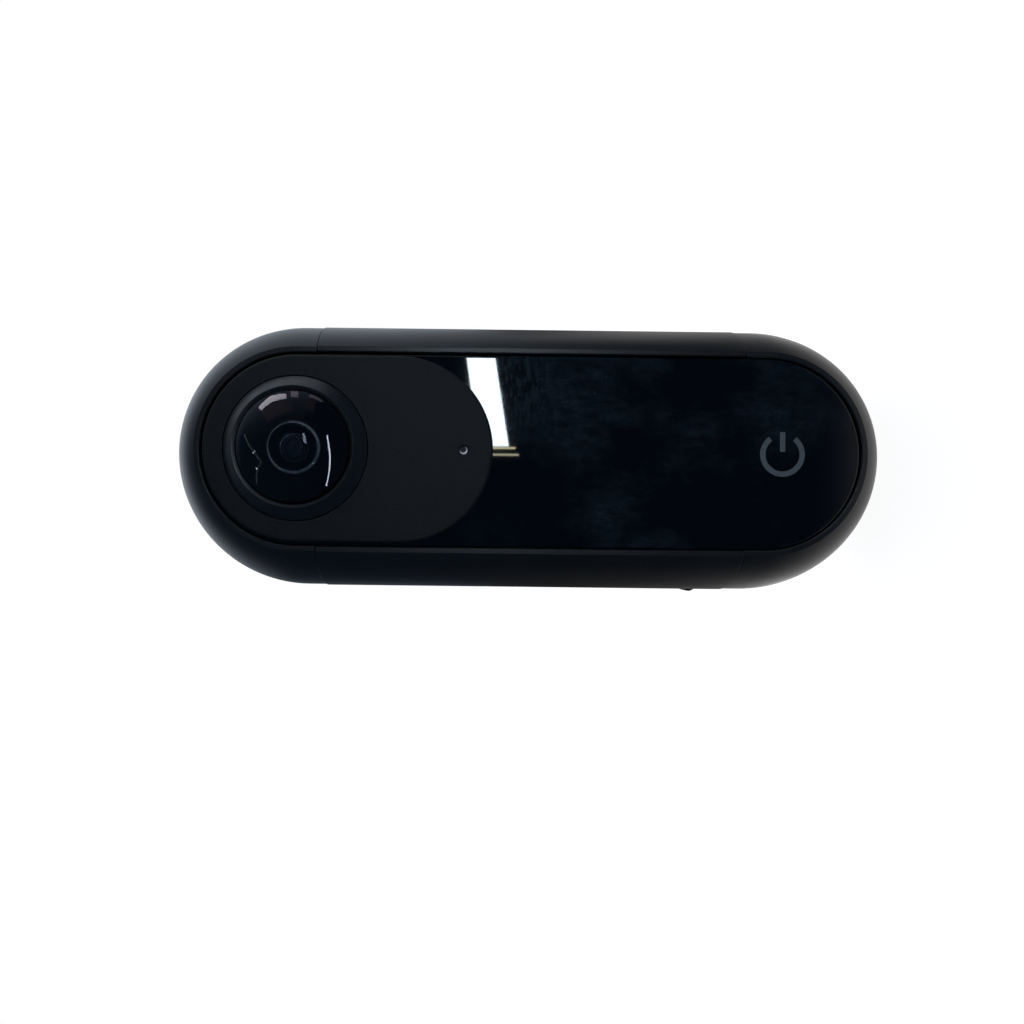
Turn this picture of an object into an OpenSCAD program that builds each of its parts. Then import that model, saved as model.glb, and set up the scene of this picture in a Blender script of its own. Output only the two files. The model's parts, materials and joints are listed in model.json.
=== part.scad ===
// Pocket 360 degree camera with two back-to-back fisheye lenses and a slide-out phone plug.
// Millimetres. Z runs along the body towards the lens end, the front face looks along -Y,
// the port side is +X and the plug side is -X. Z = 0 is the flat round the tripod thread.

/* [Body] */
// Length from the flat at the foot to the crown of the lens end
body_l = 96; // [94:0.5:100]
// Width over the side rails
body_w = 36.2; // [35.8:0.1:37]
// Thickness between the front and rear lip faces
body_t = 17; // [16.4:0.1:18]
// Length of a whole end of the band, from its crown to the seam
cap_l = 20.6; // [20:0.1:21.2]
// Depth of the flat ground on the foot round the tripod thread
foot_flat = 0.7; // [0.6:0.05:0.9]
// Wall of the outer band
wall = 1.4; // [1.2:0.1:1.6]
// Gap at each seam between a cap and a rail
seam_gap = 0.1; // [0.05:0.05:0.2]
// How far the rails stand proud of the caps
rail_proud = 0.1; // [0.05:0.05:0.15]
// Half the height of the flat along the crown of the band
crown_flat = 1.2; // [1:0.1:2]
// Length of the tongues that locate the caps in the rails
tongue_l = 1.5; // [1:0.1:1.5]
// Wall of those tongues
tongue_wall = 0.8; // [0.5:0.1:1]

/* [Glass panels] */
// Distance from the crown of the band to the edge of a glass panel
panel_inset = 5.5; // [5.2:0.1:5.8]
// Flat lip of the band round a glass panel
lip_w = 0.7; // [0.5:0.1:1]
// Edge broken along the inside of that lip
lip_edge = 0.12; // [0.05:0.01:0.15]
// Thickness of the glass
glass_t = 0.8; // [0.6:0.1:1]
// Depth of the glass below the lip
glass_recess = 0.15; // [0.1:0.05:0.25]
// Gap round the glass
glass_gap = 0.08; // [0.05:0.01:0.12]
// Width of the ledge that carries the glass
ledge_w = 1.4; // [1:0.1:1.6]
// Thickness of the ledge
ledge_t = 1; // [0.8:0.1:1.2]
// Thickness of the double-sided tape under the glass
tape_t = 0.15; // [0.1:0.05:0.2]

/* [Lens covers] */
// Strip of glass left between the oval lens cover and the band
cover_gap = 0.4; // [0.3:0.05:0.6]
// Straight length of the oval, from one end's centre to the other
cover_l = 13.4; // [12.5:0.1:14.5]
// How far the cover stands proud of the glass
cover_rise = 0.5; // [0.4:0.05:0.7]
// Bevel round the cover
cover_bevel = 0.4; // [0.2:0.05:0.45]
// Wall of the skirt that passes through the glass
skirt_wall = 1; // [0.8:0.1:1.2]
// How far the cover laps over the glass
cover_lap = 1.2; // [1:0.1:1.5]
// Web of the cover
cover_web = 0.9; // [0.7:0.1:1]
// Depth of the skirt below the glass
skirt_drop = 0.5; // [0.3:0.1:0.8]
// Distance from the lens axis to the indicator window
indicator_drop = 21.7; // [21:0.1:22]
// Radius of the indicator window
indicator_r = 0.55; // [0.4:0.05:0.7]

/* [Lenses] */
// Thickness of the camera over both dome lenses
depth = 25; // [24.5:0.1:25.5]
// Width of the cover left round the conical lens ring
ring_margin = 2.8; // [2.6:0.1:3]
// How far the cone runs inwards
ring_slope = 1.55; // [1.4:0.05:1.6]
// Width of the flat land inside the cone
ring_land = 0.55; // [0.4:0.05:0.7]
// Height of the cone above the cover
ring_rise = 1.1; // [0.9:0.1:1.3]
// Radius of the hollow at the back of the dome lens
dome_hollow_r = 3.2; // [3:0.1:3.5]
// Thickness at the middle of the dome lens
dome_t = 1.4; // [1.2:0.1:2]
// Clearance round the glass elements
lens_gap = 0.1; // [0.05:0.05:0.15]
// How far a lens barrel reaches out beyond its dome lens
barrel_rim = 0.8; // [0.7:0.1:1]
// Radius of the second lens element
inner_lens_r = 3.6; // [3.2:0.1:3.8]
// Radius of the aperture at the bottom of a barrel
aperture_r = 2.2; // [1.8:0.1:2.6]
// Half the side of the twin prism
prism_half = 3.5; // [3:0.1:3.6]
// Radius of a side lens cell
cell_r = 3.4; // [3:0.1:3.6]

/* [Foot] */
// Radius of the tripod thread
thread_r = 2.55; // [2.5:0.05:2.6]
// Depth of the tripod thread
thread_l = 5.5; // [5:0.25:6]
// Outer radius of the thread insert
insert_r = 3.7; // [3.6:0.1:3.9]
// Radius of the insert's inner flange
insert_flange_r = 4.7; // [4.5:0.1:5]
// Height of the shutter button above the foot
button_z = 16; // [15:0.5:16.5]
// Radius of the shutter button
button_r = 4; // [3.5:0.1:4.2]
// Travel of the shutter button
button_travel = 0.35; // [0.25:0.05:0.4]

/* [Phone plug] */
// Height of the phone plug above the foot
plug_z = 51.5; // [51:0.5:52.5]
// Length of the plug blade
blade_l = 6.9; // [6.5:0.1:7]
// Width of the plug blade
blade_w = 6.7; // [6.5:0.1:6.8]
// Thickness of the plug blade
blade_t = 1.5; // [1.4:0.05:1.6]
// Travel of the plug
plug_travel = 7.4; // [7:0.1:7.5]
// Travel of the thumb slider
slider_travel = 8; // [7.5:0.25:8]
// Height of the thumb slider above the foot
slider_z = 25.1; // [24.6:0.1:25.6]
// Length of the thumb slider
slider_l = 7; // [6:0.5:7.5]
// Width of the thumb slider
slider_w = 2.4; // [2:0.1:2.6]
// Radius of the cam pin on the plug carrier
cam_pin_r = 0.8; // [0.6:0.05:0.9]
// Running clearance of the sliding pieces
run_gap = 0.15; // [0.12:0.01:0.2]

/* [Electronics] */
// Thickness of the circuit boards
board_t = 0.8; // [0.6:0.1:1]
// Thickness of the battery
battery_t = 3.9; // [3.4:0.1:3.9]
// Room left for the mid frame between the crown of the band and each flank of the battery
battery_margin = 5.5; // [5.5:0.5:7]
// Height of the USB port above the foot
usb_z = 30; // [30:0.5:32]
// Distance from the lens axis to the middle of the memory card slot
card_drop = 30; // [29.5:0.5:31]

/* [Hidden] */
$fn = 64;
eps = 0.01;
rail_w = body_w / 2;
half_w = rail_w - rail_proud;
half_t = body_t / 2;
top_seam = body_l - cap_l;
foot_seam = cap_l - foot_flat;
top_arc_z = body_l - half_w;
foot_arc_z = half_w - foot_flat;
cap_straight = top_arc_z - top_seam;
crown_w = panel_inset - lip_w;
crown_h = half_t - crown_flat;
band_r = (crown_w * crown_w + crown_h * crown_h) / (2 * crown_w);
rim_w = panel_inset + ledge_w;
glass_y = half_t - glass_recess;
glass_in_y = glass_y - glass_t;
ledge_y = glass_in_y - tape_t;
cavity_y = ledge_y - ledge_t;
cover_y = glass_y + cover_rise;
ring_y = cover_y + ring_rise;
dome_y = depth / 2;

// Margins from the crown of the band to the pieces that fill the width
block_margin = 5.2;
flank_margin = 7.1;
board_margin = 3.8;
post_margin = 6.2;
collar_wall = 1;
// Places along the body: battery's foot, room below the indicator, microphones below the frame's top
battery_z = 22.7;
led_room = 2.1;
mic_drop = 1.2;
bay_gap = 0.2;

// Sizes that follow from the body's
lens_z = top_arc_z;
cover_r = half_w - panel_inset - cover_gap;
cover_foot_z = lens_z - cover_l;
indicator_z = lens_z - indicator_drop;
ring_r = cover_r - ring_margin;
ring_top_r = ring_r - ring_slope;
dome_r = ring_top_r - ring_land;
barrel_r = dome_r + barrel_rim;
collar_r = barrel_r + collar_wall;
block_r = half_w - block_margin;
block_flat_x = half_w - flank_margin;
frame_top = lens_z - block_r - bay_gap;
card_z = lens_z - card_drop;
mic_z = frame_top - mic_drop;
battery_w = 2 * (half_w - battery_margin);
battery_l = indicator_z - led_room - battery_z;
board_w = 2 * (half_w - board_margin);
post_x = half_w - post_margin;

// Sweeps a profile, whose crown lies at x = $r, round one end, above the seam at z = 0
module sweep_end() {
  $r = half_w;
  translate([0, 0, cap_straight]) rotate([90, 0, 0]) rotate_extrude(angle = 180) children();
  for (s = [0, 1]) mirror([s, 0, 0]) linear_extrude(cap_straight) children();
}

// Runs a profile straight along Z from z0 to z1, its crown at x = $r
module sweep_rail(z0, z1, r = half_w) {
  $r = r;
  translate([0, 0, z0]) linear_extrude(z1 - z0) children();
}

// The rounded side of the band, sunk below its surface by a depth
module band_round(sink) {
  r = band_r - sink;
  for (s = [-1, 1]) translate([$r - band_r, s * crown_flat]) circle(r);
  translate([$r - band_r, -crown_flat]) square([r, 2 * crown_flat]);
}

// Section of the band: rounded outside, hollow inside, with a rebate for each glass panel
module band_section() {
  difference() {
    intersection() {
      band_round(0);
      translate([$r - rim_w, -half_t]) square([rim_w + 1, body_t]);
    }
    intersection() {
      band_round(wall);
      translate([$r - rim_w - 1, -cavity_y]) square([rim_w + 1, 2 * cavity_y]);
    }
    for (s = [0, 1]) mirror([0, s]) {
      translate([$r - rim_w - 1, ledge_y]) square([rim_w + 1 - panel_inset, half_t]);
      translate([$r - panel_inset, half_t])
        polygon([[-lip_w, -lip_w - lip_edge], [lip_w + lip_edge, lip_w], [-lip_w, lip_w]]);
    }
  }
}

// Section of the tongue that a cap sends into the rails, its outside sunk by a depth
module tongue_section(sink) {
  intersection() {
    difference() {
      band_round(sink);
      band_round(wall + run_gap + tongue_wall);
    }
    translate([$r - rim_w, -tongue_y1]) square([rim_w, tongue_y0 + tongue_y1]);
  }
}
tongue_y0 = 1.2;
tongue_y1 = 3.4;

// A plate over the whole outline, between two distances in front of the mid plane
module outline_plate(inset, y0, y1) {
  oval(half_w - inset, foot_arc_z, top_arc_z, y0, y1);
}

// A cylinder along Y that starts y0 and ends y1 in front of the mid plane
module front_disc(r, y0, y1, r2 = 0) {
  rotate([90, 0, 0])
    translate([0, 0, y0]) cylinder(r1 = r, r2 = r2 == 0 ? r : r2, h = y1 - y0);
}

// An upright oval plate, its ends centred at z0 and z1, between two distances from the mid plane
module oval(r, z0, z1, y0, y1) {
  for (z = [z0, z1]) translate([0, 0, z]) front_disc(r, y0, y1);
  translate([-r, -y1, z0]) cube([2 * r, y1 - y0, z1 - z0]);
}

// The oval of the lens cover, grown by an offset
module cover_oval(grow, y0, y1) {
  oval(cover_r + grow, cover_foot_z, lens_z, y0, y1);
}

// A box given by its two corners
module box(a, b) {
  translate(a) cube(b - a);
}

// Both ends of the band share this shell, seam at z = 0
module cap_shell() {
  sweep_end() band_section();
  for (s = [0, 1]) mirror([s, 0, 0]) {
    sweep_rail(-tongue_l, tongue_wall) tongue_section(wall + run_gap);
    sweep_rail(seam_gap, tongue_wall) tongue_section(wall / 2);
  }
}

// Names for the levels inside, measured from the mid plane towards the rear
frame_y = 1.6;
frame_t = 0.7;
frame_inset = 2.1;
frame_foot = 7.1;
bay_wall = 0.8;
bay_y = 6.2;
battery_y = frame_y + frame_t + bay_gap / 2;
// Levels measured from the mid plane towards the front
board_y = 2.6;
board_foot = 20.6;
chip_t = 1.3;
post_r = 1.6;
screw_r = 0.6;
screw_head_r = 1.3;
screw_head_t = 0.5;
part_gap = 0.05;
// Centres of the four posts as [x, z]; the third clears the plug's guide
post_foot_z = 23.8;
post_drop = 4.5;
inner_post_x = -3.2;
posts = [[-post_x, post_foot_z], [post_x, post_foot_z], [post_x, frame_top - post_drop],
         [inner_post_x, frame_top - post_drop]];

module lens_end_cap() color("dimgray")
  translate([0, 0, top_seam + seam_gap / 2]) cap_shell();

module foot_end_cap() color("dimgray")
  difference() {
    union() {
      translate([0, 0, foot_seam - seam_gap / 2]) mirror([0, 0, 1]) cap_shell();
      translate([0, 0, boss_z0]) cylinder(r = insert_flange_r + boss_rim, h = boss_top - boss_z0);
    }
    translate([-half_w, -half_t, -2 * foot_flat]) cube([2 * half_w, body_t, 2 * foot_flat]);
    translate([0, 0, -foot_flat]) cylinder(r = insert_r + part_gap, h = boss_top + 2 * foot_flat);
  }
boss_rim = 0.6;
boss_z0 = 1;
boss_top = 6;

// Half of the shell between the seams, before anything is cut through it
module rail_shell() {
  sweep_rail(foot_seam + seam_gap / 2, top_seam - seam_gap / 2, rail_w) band_section();
}

// An opening through the port side wall, rounded, centred on (y, z)
module wall_slot(y, z, w, l, r) {
  for (s = [-1, 1])
    for (t = [-1, 1])
      translate([rail_w - wall_reach, y + s * (w / 2 - r), z + t * (l / 2 - r)])
        rotate([0, 90, 0]) cylinder(r = r, h = wall_reach + 1);
  box([rail_w - wall_reach, y - w / 2 + r, z - l / 2], [rail_w + 1, y + w / 2 - r, z + l / 2]);
  box([rail_w - wall_reach, y - w / 2, z - l / 2 + r], [rail_w + 1, y + w / 2, z + l / 2 - r]);
}
wall_reach = 3;

module mic_holes() {
  for (i = [-1, 0, 1])
    translate([rail_w - wall_reach, -mic_y, mic_z + i * mic_pitch])
      rotate([0, 90, 0]) cylinder(r = mic_hole_r, h = wall_reach + 1);
}
mic_y = 2;
mic_pitch = 1.1;
mic_hole_r = 0.3;

module port_side_rail() color("slategray")
  difference() {
    rail_shell();
    wall_slot(-usb_y, usb_z, usb_t + 2 * port_gap, usb_w + 2 * port_gap, port_corner);
    wall_slot(-card_slot_y, card_z, card_slot_t, card_w + 2 * port_gap, card_slot_t / 2 - eps);
    mic_holes();
  }
usb_w = 7.5;
usb_t = 2.5;
usb_y = board_y - part_gap - usb_t / 2;
usb_shell = 0.3;
usb_depth = 5.3;
usb_sink = 0.6;
usb_mouth_x = rail_w - usb_sink;
port_gap = 0.2;
port_corner = 0.5;
card_w = 11.3;
card_slot_t = 1.3;
card_body_t = 1.4;
card_body_l = 14.6;
card_slot_y = board_y - part_gap - card_body_t / 2;
card_sink = 2.1;
card_mouth_x = half_w - card_sink;

module plug_side_rail() color("slategray")
  difference() {
    mirror([1, 0, 0]) rail_shell();
    mirror([1, 0, 0]) wall_slot(0, plug_z, neck_t + 2 * run_gap, neck_w + 2 * run_gap, neck_t / 2);
    mirror([1, 0, 0])
      wall_slot(0, slider_z + slider_travel / 2, slider_w + 2 * run_gap,
                slider_l + slider_travel + 2 * run_gap, slider_w / 2);
    mirror([1, 0, 0]) mic_holes();
  }
neck_w = 7.6;
neck_t = 2.3;
neck_l = 1.6;

// A glass panel with the oval hole that the lens cover's skirt fills
module glass_panel() {
  difference() {
    outline_plate(panel_inset + glass_gap, glass_in_y, glass_y);
    cover_oval(-cover_lap, glass_in_y - 1, glass_y + 1);
  }
}

module front_glass() color("black")
  glass_panel();

module rear_glass() color("black")
  difference() {
    mirror([0, 1, 0]) glass_panel();
    mirror([0, 1, 0])
      translate([0, 0, button_z]) front_disc(button_r + button_gap, glass_in_y - 1, glass_y + 1);
  }
button_gap = 0.15;

module glass_tape() {
  inset = panel_inset + glass_gap;
  difference() {
    outline_plate(inset, ledge_y, glass_in_y);
    outline_plate(inset + ledge_w - 2 * glass_gap, ledge_y - 1, glass_in_y + 1);
  }
}

module front_glass_tape() color("gray")
  glass_tape();

module rear_glass_tape() color("gray")
  mirror([0, 1, 0]) glass_tape();

// The part of a lens cover above the glass, with its bevel
module cover_face() {
  rim_y = cover_y - bevel_h;
  cover_oval(0, glass_y, rim_y);
  for (z = [lens_z, cover_foot_z])
    translate([0, 0, z]) front_disc(cover_r, rim_y, cover_y, cover_r - cover_bevel);
  translate([0, 0, cover_foot_z])
    linear_extrude(cover_l)
      polygon([[-cover_r, -rim_y], [cover_r, -rim_y],
               [cover_r - cover_bevel, -cover_y], [cover_bevel - cover_r, -cover_y]]);
}
bevel_h = cover_rise - 0.1;

module lens_cover() {
  skirt = -cover_lap - part_gap;
  difference() {
    union() {
      cover_face();
      cover_oval(skirt, glass_in_y - skirt_drop, glass_y + eps);
    }
    cover_oval(skirt - skirt_wall, glass_in_y - skirt_drop - 1, cover_y - cover_web);
    translate([0, 0, lens_z]) front_disc(ring_r + lens_gap, 0, dome_y);
    translate([0, 0, indicator_z]) front_disc(indicator_r, 0, dome_y);
  }
}

module front_lens_cover() color("darkslategray")
  lens_cover();

module rear_lens_cover() color("darkslategray")
  mirror([0, 1, 0]) lens_cover();

// Levels of one lens stack, measured outwards from the mid plane
seat_y = 4;
collar_y = 7.3;
gasket_t = 0.2;
ring_base_y = collar_y + gasket_t;
barrel_y = seat_y + part_gap;
barrel_top_y = 8.1;
dome_back_y = barrel_top_y + part_gap;

// Turns a section drawn as [radius, distance from the mid plane] round the lens axis
module lens_turn() {
  translate([0, 0, lens_z]) rotate([90, 0, 0]) rotate_extrude() children();
}

module lens_ring() {
  bore = dome_r + lens_gap;
  step = barrel_r + lens_gap;
  lens_turn()
    polygon([[step, ring_base_y], [ring_r, ring_base_y], [ring_r, cover_y],
             [ring_top_r, ring_y], [bore, ring_y - ring_lip], [bore, dome_back_y],
             [step, dome_back_y]]);
}
ring_lip = 0.2;

module front_lens_ring() color("dimgray")
  lens_ring();

module rear_lens_ring() color("dimgray")
  mirror([0, 1, 0]) lens_ring();

// Radius of the sphere whose cap has this rim radius and this height
function cap_sphere(rim, h) = (rim * rim + h * h) / (2 * h);

module dome_lens() {
  outer = cap_sphere(dome_r, dome_y - ring_y);
  hollow_top = dome_y - dome_t;
  hollow = cap_sphere(dome_hollow_r, hollow_top - dome_back_y);
  translate([0, 0, lens_z])
    difference() {
      intersection() {
        front_disc(dome_r, dome_back_y, dome_y);
        translate([0, outer - dome_y, 0]) sphere(outer);
      }
      translate([0, hollow - hollow_top, 0]) sphere(hollow);
    }
}

module front_dome_lens() color("lightsteelblue")
  dome_lens();

module rear_dome_lens() color("lightsteelblue")
  mirror([0, 1, 0]) dome_lens();

module lens_barrel() {
  lens_turn()
    polygon([[aperture_r, barrel_y], [barrel_r, barrel_y], [barrel_r, barrel_top_y],
             [inner_lens_r + lens_gap, barrel_top_y], [inner_lens_r + lens_gap, inner_seat_y],
             [aperture_r, inner_seat_y]]);
}
inner_seat_y = 5;
inner_lens_t = 1.9;
inner_lens_bulge = 0.8;

module front_lens_barrel() color("black")
  lens_barrel();

module rear_lens_barrel() color("black")
  mirror([0, 1, 0]) lens_barrel();

module inner_lens() {
  outer = cap_sphere(inner_lens_r, inner_lens_bulge);
  top = inner_seat_y + part_gap + inner_lens_t;
  translate([0, 0, lens_z])
    intersection() {
      front_disc(inner_lens_r, inner_seat_y + part_gap, top);
      translate([0, outer - top, 0]) sphere(outer);
    }
}

module front_inner_lens() color("lightsteelblue")
  inner_lens();

module rear_inner_lens() color("lightsteelblue")
  mirror([0, 1, 0]) inner_lens();

module lens_gasket() {
  lens_turn()
    translate([barrel_r + 2 * lens_gap, collar_y + part_gap / 2])
      square([gasket_w, gasket_t - part_gap]);
}
gasket_w = 0.6;

module front_lens_gasket() color("black")
  lens_gasket();

module rear_lens_gasket() color("black")
  mirror([0, 1, 0]) lens_gasket();

// One right-angle prism of the split cube, its mirror face on the diagonal
module prism() {
  a = prism_half;
  g = part_gap;
  translate([0, 0, lens_z - a])
    linear_extrude(2 * a) polygon([[-a + g, -a], [a, -a], [a, a - g]]);
}

module front_prism() color("lightcyan")
  prism();

module rear_prism() color("lightcyan")
  rotate([0, 0, 180]) prism();

// Turns a section drawn as [radius, distance from the mid plane] round the X axis at the lens
module flank_turn() {
  translate([0, 0, lens_z]) rotate([0, 90, 0]) rotate_extrude() children();
}

module lens_cell() {
  flank_turn()
    polygon([[relay_r - cell_lip, cell_x], [cell_r, cell_x], [cell_r, cell_end_x],
             [relay_r + lens_gap, cell_end_x], [relay_r + lens_gap, relay_x],
             [relay_r - cell_lip, relay_x]]);
}
relay_r = 2.4;
cell_lip = 0.6;
cell_x = 3.7;
cell_end_x = block_flat_x - 3 * lens_gap;
relay_x = 4.6;
relay_t = 2.2;

module port_side_lens_cell() color("dimgray")
  lens_cell();

module plug_side_lens_cell() color("dimgray")
  mirror([1, 0, 0]) lens_cell();

module relay_lens() {
  ball = cap_sphere(relay_r, relay_bulge);
  x0 = relay_x + part_gap;
  x1 = x0 + relay_t;
  translate([0, 0, lens_z])
    intersection() {
      translate([x0, 0, 0]) rotate([0, 90, 0]) cylinder(r = relay_r, h = relay_t);
      translate([x0 + ball, 0, 0]) sphere(ball);
      translate([x1 - ball, 0, 0]) sphere(ball);
    }
}
relay_bulge = 0.6;

module port_side_relay_lens() color("lightsteelblue")
  relay_lens();

module plug_side_relay_lens() color("lightsteelblue")
  mirror([1, 0, 0]) relay_lens();

module image_sensor() {
  x0 = block_flat_x + part_gap;
  box([x0, -sensor_w / 2, lens_z - sensor_l / 2], [x0 + sensor_t, sensor_w / 2, lens_z + sensor_l / 2]);
  box([x0 + sensor_t, -sensor_board_w / 2, lens_z - sensor_board_l / 2],
      [x0 + sensor_t + sensor_board_t, sensor_board_w / 2, lens_z + sensor_board_l / 2]);
}
sensor_w = 7.4;
sensor_l = 8.4;
sensor_t = 1;
sensor_board_w = 9.4;
sensor_board_l = 11;
sensor_board_t = 0.6;

module port_side_sensor() color("seagreen")
  image_sensor();

module plug_side_sensor() color("seagreen")
  mirror([1, 0, 0]) image_sensor();

// The casting that holds both barrels, the prisms and the side cells in line
module lens_block() color("silver")
  difference() {
    union() {
      translate([0, 0, lens_z]) front_disc(block_r, -block_y, block_y);
      translate([0, 0, lens_z]) front_disc(collar_r, -collar_y, collar_y);
      for (s = [-1, 1])
        box([s * ear_x - ear_w / 2, -frame_y + ear_t, ear_foot],
            [s * ear_x + ear_w / 2, frame_y, lens_z - block_r / 2]);
    }
    for (s = [0, 1]) mirror([s, 0, 0]) {
      translate([block_flat_x, -block_r, lens_z - block_r]) cube(2 * block_r);
      translate([0, 0, lens_z]) rotate([0, 90, 0]) cylinder(r = cell_r + lens_gap, h = block_r + 1);
      translate([ear_x, 0, ear_foot + ear_screw_in])
        rotate([-90, 0, 0]) translate([0, 0, -frame_y]) cylinder(r = screw_r, h = 2 * frame_y + 1);
    }
    for (s = [0, 1]) mirror([0, s, 0])
      translate([0, 0, lens_z]) {
        front_disc(barrel_r + lens_gap, seat_y, dome_y);
        front_disc(aperture_r + ledge_t, 0, seat_y + 1);
      }
    translate([0, 0, lens_z]) cube(2 * (prism_half + lens_gap), center = true);
  }
block_y = 6.2;
ear_x = 7;
ear_w = 5;
ear_t = 2;
ear_drop = 2.4;
ear_foot = frame_top - ear_drop;
ear_screw_in = 1.7;
ear_screw_l = 1.8;

module front_indicator_window() color("whitesmoke")
  translate([0, 0, indicator_z])
    front_disc(indicator_r - part_gap, board_y + board_t + led_t + part_gap, cover_y - pipe_recess);

module rear_indicator_window() color("whitesmoke")
  mirror([0, 1, 0]) translate([0, 0, indicator_z])
    front_disc(indicator_r - part_gap, frame_y + frame_t + led_board_t + led_t + 2 * part_gap,
               cover_y - pipe_recess);
led_t = 0.6;
led_w = 1.6;
led_board_t = 0.5;
pipe_recess = 0.1;

// Level plate between battery and board, with the battery bay, posts and button well
module mid_frame() color("lightgray")
  difference() {
    union() {
      intersection() {
        outline_plate(frame_inset, -frame_y - frame_t, -frame_y);
        box([-rail_w, -half_t, frame_foot], [rail_w, half_t, frame_top]);
      }
      frame_bay();
      for (p = posts) translate([p[0], frame_y + eps, p[1]]) front_disc(post_r, 0, board_y + frame_y + eps);
      translate([0, 0, button_z])
        mirror([0, 1, 0]) front_disc(well_r + bay_wall, frame_y + eps, well_top_y);
    }
    for (p = posts) translate([p[0], 0, p[1]]) front_disc(screw_r, 0, board_y + 1);
    translate([0, 0, button_z]) mirror([0, 1, 0]) front_disc(well_r, frame_y + frame_t, half_t);
    box([-button_flex_w / 2 - part_gap, frame_y - 1, button_slot_z - 1.5 * bay_gap],
        [button_flex_w / 2 + part_gap, frame_y + frame_t + 1, button_slot_z + flex_t + 1.5 * bay_gap]);
    box([flex_x - battery_flex_w / 2 - bay_gap, frame_y - 1, flex_z - bay_gap],
        [flex_x + battery_flex_w / 2 + bay_gap, frame_y + frame_t + 1, flex_z + 2 * bay_gap]);
    for (s = [-1, 1]) translate([s * ear_x, 0, ear_foot + ear_screw_in])
      mirror([0, 1, 0]) front_disc(screw_r + part_gap, 0, half_t);
    guide_holes();
  }

// Walls round the battery, open where its flex leaves
module frame_bay() {
  x = battery_w / 2 + bay_gap;
  z0 = battery_z - bay_gap / 2;
  z1 = battery_z + battery_l + bay_gap / 2;
  y0 = frame_y + eps;
  for (s = [0, 1]) mirror([s, 0, 0]) box([x, y0, z0], [x + bay_wall, bay_y, z1]);
  box([-x - bay_wall, y0, z0 - bay_wall], [x + bay_wall, bay_y - 2, z0]);
  box([-x - bay_wall, y0, z1], [flex_x - battery_flex_w / 2 - bay_gap, bay_y - 2, z1 + bay_wall]);
}
well_r = 4.7;
well_top_y = 7.2;
button_flex_w = 2.6;
button_slot_z = 18.6;
battery_flex_w = 3.5;
flex_x = 9;
flex_t = 0.2;
flex_rise = 1.2;
flex_z = battery_z + battery_l + flex_rise;

module main_board() color("darkgreen")
  difference() {
    box([-board_w / 2, -board_y - board_t, board_foot], [board_w / 2, -board_y, frame_top]);
    for (p = posts) translate([p[0], 0, p[1]]) front_disc(screw_r + part_gap, 0, half_t);
  }

module board_chips() color("black") {
  y = board_y + board_t;
  for (c = chips)
    box([c[0] - c[2] / 2, -y - chip_t, c[1] - c[3] / 2], [c[0] + c[2] / 2, -y, c[1] + c[3] / 2]);
  box([-led_w / 2, -y - led_t, indicator_z - led_w / 2], [led_w / 2, -y, indicator_z + led_w / 2]);
}
// Centre X, centre Z, width and height of each chip
chip_row_1 = 31.5;
chip_row_2 = 44;
chips = [[0, chip_row_2, 12, 12], [-6.5, chip_row_1, 9, 7], [5, chip_row_1, 8, 7],
         [-9.5, chip_row_2, 4, 6]];

module heat_spreader() color("silver")
  difference() {
    y = board_y + board_t + chip_t + part_gap;
    box([-spreader_w / 2, -y - spreader_t, spreader_z0], [spreader_w / 2, -y, spreader_z1]);
    for (i = [-2 : 2])
      box([i * vent_pitch - vent_w / 2, -y - 1, vent_z],
          [i * vent_pitch + vent_w / 2, 1 - y, vent_z + vent_l]);
  }
spreader_margin = 6.5;
spreader_w = 2 * (half_w - spreader_margin);
spreader_t = 0.5;
spreader_lap_foot = 4;
spreader_lap_top = 7;
spreader_z0 = chip_row_1 - spreader_lap_foot;
spreader_z1 = chip_row_2 + spreader_lap_top;
vent_pitch = 4;
vent_w = 1;
vent_l = 1.2;
vent_z = (chip_row_1 + chip_row_2) / 2 - 1.75;

module battery() color("gainsboro") {
  r = battery_t / 4;
  y0 = battery_y;
  w = battery_w / 2;
  translate([0, y0, battery_z])
    linear_extrude(battery_l) {
      translate([r - w, 0]) square([battery_w - 2 * r, battery_t]);
      translate([-w, r]) square([battery_w, battery_t - 2 * r]);
      for (s = [-1, 1]) for (t = [r, battery_t - r]) translate([s * (w - r), t]) circle(r);
    }
}

// A metal shell that opens towards the port side, with a contact tongue if it has one
module socket(mouth_x, l, y, w, t, shell, tongue) {
  difference() {
    box([mouth_x - l, -y - t / 2, -w / 2], [mouth_x, t / 2 - y, w / 2]);
    box([mouth_x - l + 3 * shell, shell - y - t / 2, shell - w / 2],
        [mouth_x + 1, t / 2 - shell - y, w / 2 - shell]);
  }
  if (tongue > 0)
    box([mouth_x - l + shell, -y - tongue / 2, -w / 4], [mouth_x - l / 4, tongue / 2 - y, w / 4]);
}

module usb_port() color("silver")
  translate([0, 0, usb_z]) socket(usb_mouth_x, usb_depth, usb_y, usb_w, usb_t, usb_shell, 0.6);

module card_socket() color("silver")
  translate([0, 0, card_z])
    socket(card_mouth_x, card_body_l, card_slot_y, card_w + 1, card_body_t, card_shell, 0);
card_shell = 0.2;

module microphones() color("gold")
  for (s = [-1, 1])
    box([s * mic_x - mic_w / 2, part_gap - board_y, mic_z - mic_l / 2],
        [s * mic_x + mic_w / 2, mic_t - board_y, mic_z + mic_l / 2]);
mic_margin = 5;
mic_x = half_w - mic_margin;
mic_w = 2.4;
mic_l = 2.2;
mic_t = 1;

module antenna() color("ivory")
  box([-antenna_l / 2, -board_y - board_t - antenna_t, board_foot + bay_gap],
      [antenna_l / 2, -board_y - board_t, board_foot + bay_gap + antenna_w]);
antenna_l = 8;
antenna_w = 1.8;
antenna_t = 1;

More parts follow.
